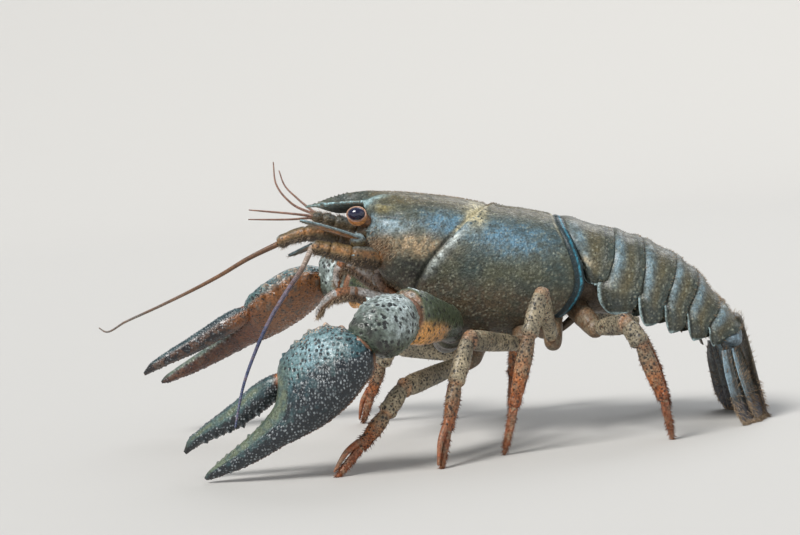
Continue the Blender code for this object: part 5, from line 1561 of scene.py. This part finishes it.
ANTENNULE_STALK = (
    (-8.6, 2.6, 47.4, 1.5),
    (-12.6, 2.9, 48.6, 1.4),
    (-16.2, 3.0, 49.8, 1.1),
    (-18.2, 3.0, 50.4, 0.9),
)
# The two whips of each antennule as rows of (x, y, z), and their radii, the same on both sides.
ANTENNULE_LEFT_WHIPS = (
    ((-17.4, -3.2, 50.4), (-22.0, -3.8, 51.3), (-28.0, -4.6, 52.3), (-31.6, -5.2, 52.9)),
    ((-17.4, -2.8, 50.2), (-22.0, -4.6, 50.2), (-27.6, -6.6, 50.6), (-31.6, -8.4, 51.0)),
)
ANTENNULE_RIGHT_WHIPS = (
    ((-17.4, 3.2, 50.4), (-22.6, 3.8, 53.2), (-25.8, 4.6, 57.6), (-26.2, 6.0, 62.6)),
    ((-17.4, 3.6, 50.6), (-21.4, 5.4, 54.2), (-24.2, 7.2, 57.4), (-25.2, 8.4, 60.6)),
)
WHIP_RADII = ((0.6, 0.45, 0.35, 0.22), (0.55, 0.4, 0.32, 0.22))
# Each stalk's pieces end at these shares of its length.
PEDUNCLE_JOINTS = (0.0, 0.42, 0.72, 1.0)
ANTENNULE_JOINTS = (0.0, 0.5, 0.78, 1.0)
# Round swellings at the stalk's root: place on the right side, radius.
KNUCKLE = ((-8.6, 8.8, 44.8), 1.7)
CHEEK_PAD = ((-6.4, 5.4, 46.4), 2.4)
SCALE_LEFT = dict(root=(-8.2, -9.6, 45.3), tip=(-20.6, -9.4, 50.0), across=(0.25, 1, -0.35))
SCALE_RIGHT = dict(root=(-9.4, 9.6, 47.0), tip=(-24.6, 10.6, 41.6), across=(-0.2, -1, 0.25))
SCALE_OUTLINE = ((0.0, 0.5), (0.15, 0.85), (0.45, 1.0), (0.75, 0.8), (0.92, 0.42), (1.0, 0.1))
FEELER_FINISH = shell_finish(
    "feeler_shell",
    dye(142, 100, 66),
    dye(120, 84, 56),
    layers=(
        ("grey", dye(132, 126, 118), 0.9),
        ("lilac", dye(138, 130, 150), 0.95),
        ("steel", dye(58, 76, 116), 0.95),
        ("white", dye(206, 190, 176), 0.9),
        ("pink", dye(170, 132, 116), 0.95),
        ("ring", dye(50, 36, 32), 0.6),
    ),
    grit=0.2,
)
STALK_FINISH = shell_finish(
    "stalk_shell",
    dye(122, 104, 72),
    dye(76, 74, 54),
    layers=(
        ("pale", dye(150, 172, 178), 0.85),
        ("rust", dye(200, 130, 68), 0.8),
        ("brown", dye(62, 46, 34), 0.85),
    ),
    spots=((0.9, 0.26, dye(32, 26, 22), 0.85, None),),
)
SCALE_FINISH = shell_finish(
    "scale_shell",
    dye(104, 98, 78),
    dye(80, 84, 74),
    layers=(("edge", dye(138, 168, 178), 0.9), ("rust", dye(214, 132, 54), 0.9)),
    spots=((1.0, 0.18, dye(44, 40, 34), 0.5, None),),
)


def whip_shell(rows, slim, spacing=0.16, sides=12, ring=0.55):
    """A tapering whip through rows of (x, y, z, radius), waisted once in every ring of its length.

    Its radius is the row's times slim times (0.88 + 0.14 w), where w is 0 at a waist and 1 between.
    """
    rows = np.asarray(rows, float)
    reach = reach_along(rows)
    count = int(reach[-1] / spacing)
    along = np.linspace(0.0, reach[-1], count)
    line = through(along, np.column_stack([reach, rows]))
    waist = 0.5 - 0.5 * np.cos(2 * math.pi * along / ring)
    radius = line[:, 3] * slim * (0.88 + 0.14 * waist)
    points, faces = closed_tube(rings_along(line[:, :3], radius, radius, sides, top_near=(0.2, 0.3, 1.0)))
    share = np.concatenate([np.repeat(along / reach[-1], sides), [0.0, 1.0]])
    banded = np.concatenate([np.repeat(1 - waist, sides), [0.0, 0.0]])
    return points, faces, share, banded


def stalk_shells(rows, joints, sides=48):
    """Segments of a stalk: the rows' smooth line cut at shares of its length, each rounded at its ends."""
    rows = np.asarray(rows, float)
    reach = reach_along(rows)
    shells = []
    for start, stop in zip(joints[:-1], joints[1:]):
        at = np.linspace(start - 0.015, stop + 0.015, 9) * reach[-1]
        line = through(at, np.column_stack([reach, rows]))
        shells.append(segment(np.column_stack([line, line[:, 3]]), 40, sides, 0.12))
    return shells


face_hair = []
for side_name, side, peduncle, antenna, scale, whips in (
    ("left", -1, PEDUNCLE_LEFT, ANTENNA_LEFT, SCALE_LEFT, ANTENNULE_LEFT_WHIPS),
    ("right", 1, PEDUNCLE_RIGHT, ANTENNA_RIGHT, SCALE_RIGHT, ANTENNULE_RIGHT_WHIPS),
):
    shells = []
    for number, (points, faces, share, facing) in enumerate(stalk_shells(peduncle, PEDUNCLE_JOINTS)):
        points, faces, values = grained(points, faces, {}, 0.8, 0.07)
        below = smooth_step((0.1 - facing) / 0.5) + 0.02
        sowing = (below, 120, 96 + 3 * number + side, 0.8, (-0.7, 0.0, -0.3), 0.8, 0.06)
        face_hair.append(hairs_on(points, faces, *sowing))
        pale = 0.7 if number == 0 else smooth_step((share - 0.75) / 0.2) * (number == 2)
        # darker brown on the lower side and over the first piece: partly the stalk's own brown, partly
        # painted shade
        low_side = smooth_step((0.05 - facing) / 0.6) + 0.35 * (number == 0)
        values.update(
            pale=0.6 * pale * smooth_step((facing - 0.5) / 0.3),
            rust=0.5 * bell(facing - 0.3, 0.35),
            brown=low_side,
        )
        shells.append((points, faces, STALK_FINISH, values))
    knuckle, cheek_pad = (
        grained(*ball_shell(np.array(middle) * (1, side, 1), radius, 40, 30), {}, 0.7, 0.06)
        for middle, radius in (KNUCKLE, CHEEK_PAD)
    )
    height = knuckle[0][:, 2]
    tones = dict(pale=smooth_step((height - 44.4) / 1.2), rust=smooth_step((44.0 - height) / 1.0))
    shells.append((*knuckle[:2], STALK_FINISH, dict(knuckle[2], **tones)))
    shells.append((*cheek_pad[:2], STALK_FINISH, dict(cheek_pad[2], brown=0.8)))
    root = np.array(peduncle[1][:3])
    spine = spike(root + (0, side * 1.6, 0.6), root + (-2.6, side * 2.6, 0.8), 0.8)
    shells.append((*spine, STALK_FINISH, dict(pale=1.0)))
    stalk = lay_mesh(f"antenna_stalk_{side_name}", shells)
    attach(stalk, "root")
    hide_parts(f"antenna_base_{side_name}")
    points, faces, share, banded = whip_shell(antenna, 0.68)
    if side < 0:
        values = dict(
            white=smooth_step((0.25 - share) / 0.25),
            lilac=smooth_step((share - 0.05) / 0.25),
            steel=smooth_step((share - 0.3) / 0.35),
        )
    else:
        values = dict(grey=smooth_step((share - 0.35) / 0.45))
    whip_values = dict(values, ring=banded)
    feeler = lay_mesh(f"antenna_whip_{side_name}", [(points, faces, FEELER_FINISH, whip_values)])
    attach(feeler, "root")
    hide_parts(f"antenna_{side_name}")
    outer, inner, share, across_share = blade_sheet(half=2.4, thick=0.8, outline=SCALE_OUTLINE, **scale)
    share, across_share = (np.tile(part.ravel(), 2) for part in np.broadcast_arrays(share, across_share))
    points, faces = closed_sheet(outer, inner)
    lateral = -across_share if side < 0 else across_share
    values = dict(
        edge=smooth_step((lateral - 0.72) / 0.12),
        rust=bell(lateral - 0.1, 0.5) * smooth_step((0.85 - share) / 0.3),
    )
    points, faces, values = grained(points, faces, values, 0.7, 0.05)
    inner_edge = smooth_step((-lateral - 0.86) / 0.06) * smooth_step(share / 0.2)
    sowing = (inner_edge, 320, 90 + side, 0.2, (-0.7, -side * 0.9, 0.1), 1.3, 0.055, 0.15)
    face_hair.append(hairs_on(points, faces, *sowing))
    plate = lay_mesh(f"antenna_scale_{side_name}", [(points, faces, SCALE_FINISH, values)])
    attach(plate, "root")
    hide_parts(f"antennal_scale_{side_name}")
    shells = []
    small_stalk = np.array(ANTENNULE_STALK) * (1, side, 1, 1)
    for points, faces, share, facing in stalk_shells(small_stalk, ANTENNULE_JOINTS, 32):
        shells.append((points, faces, STALK_FINISH, dict(brown=0.5, pale=0.4 * smooth_step(facing))))
        sowing = (0.2 + share, 80, 130 + len(face_hair), 0.8, (-0.8, 0.0, 0.1), 0.9, 0.055)
        face_hair.append(hairs_on(points, faces, *sowing))
    for whip, radii in zip(whips, WHIP_RADII):
        points, faces, _, banded = whip_shell(np.column_stack([whip, radii]), 0.62, 0.12, 8, 0.5)
        shells.append((points, faces, FEELER_FINISH, dict(pink=1.0, ring=banded)))
    small = lay_mesh(f"antennule_small_{side_name}", shells)
    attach(small, "root")
    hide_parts(f"antennule_{side_name}")

# Eyes: a glossy dark dome of many facets on a short movable stalk of soft orange skin, with a pale
# pink rim where the dome meets the stalk. The dome looks out to the side and a little up.
EYE_CENTRE = (-8.4, 8.0, 50.1)
EYE_ROOT = (-4.0, 4.4, 47.6)
EYE_LOOK = (-0.22, 1.0, 0.12)
EYE_DOME_RISE = 0.42
FACET_SIZE = 0.11
RIM_SIDES = 24
RIM_ROUND = 72


def gloss_finish(name, colour, roughness, coat):
    """A hard gloss over fine facets, each a cell that is lighter and higher towards its edges."""
    material = bpy.data.materials.new(name)
    material.use_nodes = True
    shader = material.node_tree.nodes["Principled BSDF"]
    place = node(material, "TexCoord").outputs["Object"]
    facets = node(material, "TexVoronoi", {"Vector": place, "Scale": 1 / (FACET_SIZE * MM)})
    facets = facets.outputs["Distance"]
    tone = blended(material, facets, colour, tuple(1.9 * part for part in colour[:3]) + (1.0,))
    material.node_tree.links.new(tone, shader.inputs["Base Color"])
    shader.inputs["Roughness"].default_value = roughness
    shader.inputs["Coat Weight"].default_value = coat
    shader.inputs["Coat Roughness"].default_value = 0.04
    bump = node(material, "Bump", {"Strength": 0.12, "Distance": 0.00003, "Height": facets})
    material.node_tree.links.new(bump.outputs["Normal"], shader.inputs["Normal"])
    return material


CORNEA_FINISH = gloss_finish("eye_dome", dye(12, 14, 44), 0.10, 0.9)
EYE_SKIN_FINISH = shell_finish(
    "eye_skin",
    dye(198, 142, 92),
    dye(150, 96, 58),
    layers=(
        ("tan", dye(206, 142, 84), 0.95),
        ("brown", dye(84, 58, 42), 0.85),
        ("rim", dye(204, 164, 144), 0.95),
    ),
    spots=((0.7, 0.2, dye(60, 44, 34), 0.6, None),),
    coat=0.3,
)
for side_name, side in (("left", -1), ("right", 1)):
    centre, root = (np.array(point) * (1, side, 1) for point in (EYE_CENTRE, EYE_ROOT))
    look = unit(np.array(EYE_LOOK) * (1, side, 1))
    belt = rings_along(np.array([centre, centre + look]), 1.0, 1.0, 64)[0] - centre
    top_axis, across_axis = unit(belt[0]), unit(belt[16])
    seat = centre + top_axis * EYE_DOME_RISE
    u = np.sin(np.linspace(-0.35, 1.5, 44))
    dome = np.sqrt(1 - u**2)
    cornea = rings_along(seat + look * (0.35 + 1.55 * u[:, None]), 1.46 * dome, 2.0 * dome, 64)
    shells = [(*closed_tube(cornea), CORNEA_FINISH, {})]
    turn = np.linspace(0.0, 2 * math.pi, RIM_SIDES, endpoint=False)[:, None]
    angle = np.linspace(0.0, 2 * math.pi, RIM_ROUND, endpoint=False)[None, :]
    flare = (0.17 + 0.05 * (1 - np.cos(angle))) * np.sin(turn)
    rim_points = (
        seat
        + look * (0.52 + 0.22 * np.cos(turn) + 0 * angle)[..., None]
        + across_axis * ((2.02 + flare) * np.sin(angle))[..., None]
        + top_axis * ((1.48 + flare) * np.cos(angle))[..., None]
    ).reshape(-1, 3)
    here = np.arange(RIM_SIDES * RIM_ROUND).reshape(RIM_SIDES, RIM_ROUND)
    right_of, below = np.roll(here, -1, axis=1), np.roll(here, -1, axis=0)
    rim_faces = split_quads(here, right_of, np.roll(below, -1, axis=1), below)
    shells.append((rim_points, outward(rim_points, rim_faces), EYE_SKIN_FINISH, dict(rim=1.0)))
    u = np.sin(np.linspace(-1.4, 1.5, 40))
    size = np.sqrt(1 - u**2)
    knob = rings_along(centre + look * (-0.35 + 1.15 * u[:, None]), 2.12 * size, 2.2 * size, 56)
    down = np.clip(-np.concatenate([(knob.reshape(-1, 3) - centre) @ top_axis, [0, 0]]) / 2.0, -1, 1)
    values = dict(tan=smooth_step(down * 1.4 + 0.1), brown=0.5 * smooth_step(0.2 - down))
    shells.append((*closed_tube(knob), EYE_SKIN_FINISH, values))
    bend = np.array([root, (root + centre) / 2 - (0, 0, 0.5), centre - look * 1.0])
    line = evenly(np.linspace(0, 1, 40), np.column_stack([bend, (1.6, 1.5, 1.7), (1.6, 1.6, 1.8)]))
    stem = closed_tube(rings_along(line[:, :3], line[:, 3], line[:, 4], 48))
    shells.append((*stem, EYE_SKIN_FINISH, dict(brown=0.8)))
    eye = lay_mesh(f"eye_on_stalk_{side_name}", shells)
    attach(eye, "root")
    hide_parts(f"eye_{side_name}")

# Mouth legs: the third pair of jaw feet, held folded under the head. Each is a row of flattened
# segments with a saw of small teeth along its inner edge and stiff bristles. Two smaller pairs and the
# two jaws lie inside them.

# The jaw feet are rows of (x, y, z, half height, half width), from the mouth outwards.
MAXILLIPED_LEFT = (
    (-2.6, -5.4, 31.0, 1.9, 1.5),
    (-5.6, -6.6, 31.6, 1.9, 1.4),
    (-9.4, -7.6, 33.2, 1.7, 1.3),
    (-12.2, -8.6, 33.8, 1.4, 1.3),
    (-14.8, -9.4, 33.2, 1.3, 1.1),
    (-17.0, -9.8, 31.6, 0.9, 0.8),
    (-18.6, -9.8, 29.2, 0.45, 0.45),
)
MAXILLIPED_RIGHT = (
    (-3.0, 4.8, 32.4, 1.9, 1.5),
    (-6.2, 5.2, 35.0, 1.9, 1.4),
    (-9.4, 5.6, 37.6, 1.7, 1.3),
    (-12.0, 5.9, 39.2, 1.5, 1.3),
    (-13.4, 5.9, 37.8, 1.3, 1.1),
    (-14.0, 5.7, 36.0, 0.9, 0.8),
    (-14.0, 5.5, 34.0, 0.45, 0.45),
)
MOUTH_FINISH = shell_finish(
    "mouth_shell",
    dye(146, 112, 84),
    dye(96, 76, 60),
    layers=(
        ("pale", dye(186, 190, 192), 0.8),
        ("rust", dye(160, 92, 48), 0.7),
        ("dark", dye(40, 32, 26), 0.85),
    ),
    spots=((0.8, 0.22, dye(34, 28, 24), 0.75, None),),
    coat=0.2,
)
# The smaller pairs as rows of height above the floor, distance from the middle, how far before the
# face, and half height and half width.
INNER_FEET = (
    (
        (30.0, 4.6, -0.4, 1.1, 1.1),
        (33.4, 4.3, 1.1, 1.1, 1.1),
        (36.4, 3.0, 1.7, 0.9, 0.9),
        (34.6, 1.7, 2.5, 0.5, 0.6),
    ),
    (
        (31.0, 2.8, -0.4, 0.9, 1.0),
        (34.0, 2.6, 0.8, 0.9, 1.0),
        (37.6, 1.6, 1.1, 0.7, 0.8),
        (36.4, 0.8, 1.7, 0.4, 0.5),
    ),
)
# A jaw's distance from the middle and height, and how much of a millimetre it reaches in x, y and z.
JAW_PLACE = (1.9, 39.0)
JAW_REACH = (1.2, 1.75, 2.2)
JAW_TEETH = 11


def face_at(y, z):
    """X of the foremost point of the shield's skin within one millimetre of (y, z)."""
    near = np.hypot(skin_points[:, 1] - y, skin_points[:, 2] - z) < 1.0
    return skin_points[near, 0].min()


for side_name, side, jaw in (("left", -1, MAXILLIPED_LEFT), ("right", 1, MAXILLIPED_RIGHT)):
    rows = np.array(jaw)
    y, z = side * JAW_PLACE[0], JAW_PLACE[1]
    pad = np.array([face_at(y, z) + 0.3, y, z])
    points, faces = ball_shell(pad, 1.0, 60, 44)
    points = pad + (points - pad) * JAW_REACH
    pale = smooth_step((points[:, 2] - 38.4) / 1.4)
    shells = [(*grained(points, faces, {}, 0.6, 0.05)[:2], MOUTH_FINISH, dict(pale=pale))]
    for number, foot_rows in enumerate(INNER_FEET):
        line = [(face_at(side * y, z) - before, side * y, z, *sizes) for z, y, before, *sizes in foot_rows]
        points, faces, share, _ = segment(line, 50, 36, 0.1)
        outer_half = smooth_step((share - 0.4) / 0.3) + 0.05
        sowing = (outer_half, 150, 150 + 2 * number + side, 0.8, (-0.5, 0.0, 0.2), 0.8, 0.05)
        face_hair.append(hairs_on(points, faces, *sowing))
        values = dict(pale=0.6 * smooth_step((share - 0.5) / 0.3), rust=1 - share)
        shells.append((points, faces, MOUTH_FINISH, values))
    for start, stop, tone in ((0, 3, "pale"), (2, 4, "rust"), (3, 6, "pale"), (5, 7, "rust")):
        points, faces, share, facing = segment(rows[start : stop + 1], 50, 40, 0.1)
        values = {tone: 0.75 * smooth_step((facing + 0.2) / 0.5)}
        values["dark"] = 0.7 * smooth_step((0.1 - facing) / 0.6)
        below = smooth_step((-0.1 - facing) / 0.5) + 0.02
        drift = (-0.5, -0.3 * side, -0.5)
        face_hair.append(hairs_on(points, faces, below, 190, 110 + 4 * start + side, 0.8, drift, 1.0, 0.06))
        shells.append((points, faces, MOUTH_FINISH, values))
    for place in np.linspace(0.0, 1.0, JAW_TEETH):
        at = evenly(place, rows[:4])
        foot = at[:3] + np.array([0.0, -side * at[4] * 0.7, -at[3] * 0.5])
        shells.append((*spike(foot, foot + (-0.2, -side * 0.7, -0.8), 0.36), MOUTH_FINISH, dict(dark=1.0)))
    jaw_leg = lay_mesh(f"jaw_foot_{side_name}", shells)
    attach(jaw_leg, "root")
    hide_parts(f"maxilliped_{side_name}_base", f"maxilliped_{side_name}_tip")
lay_bristles("face_bristles", face_hair, BRISTLE_FINISH)
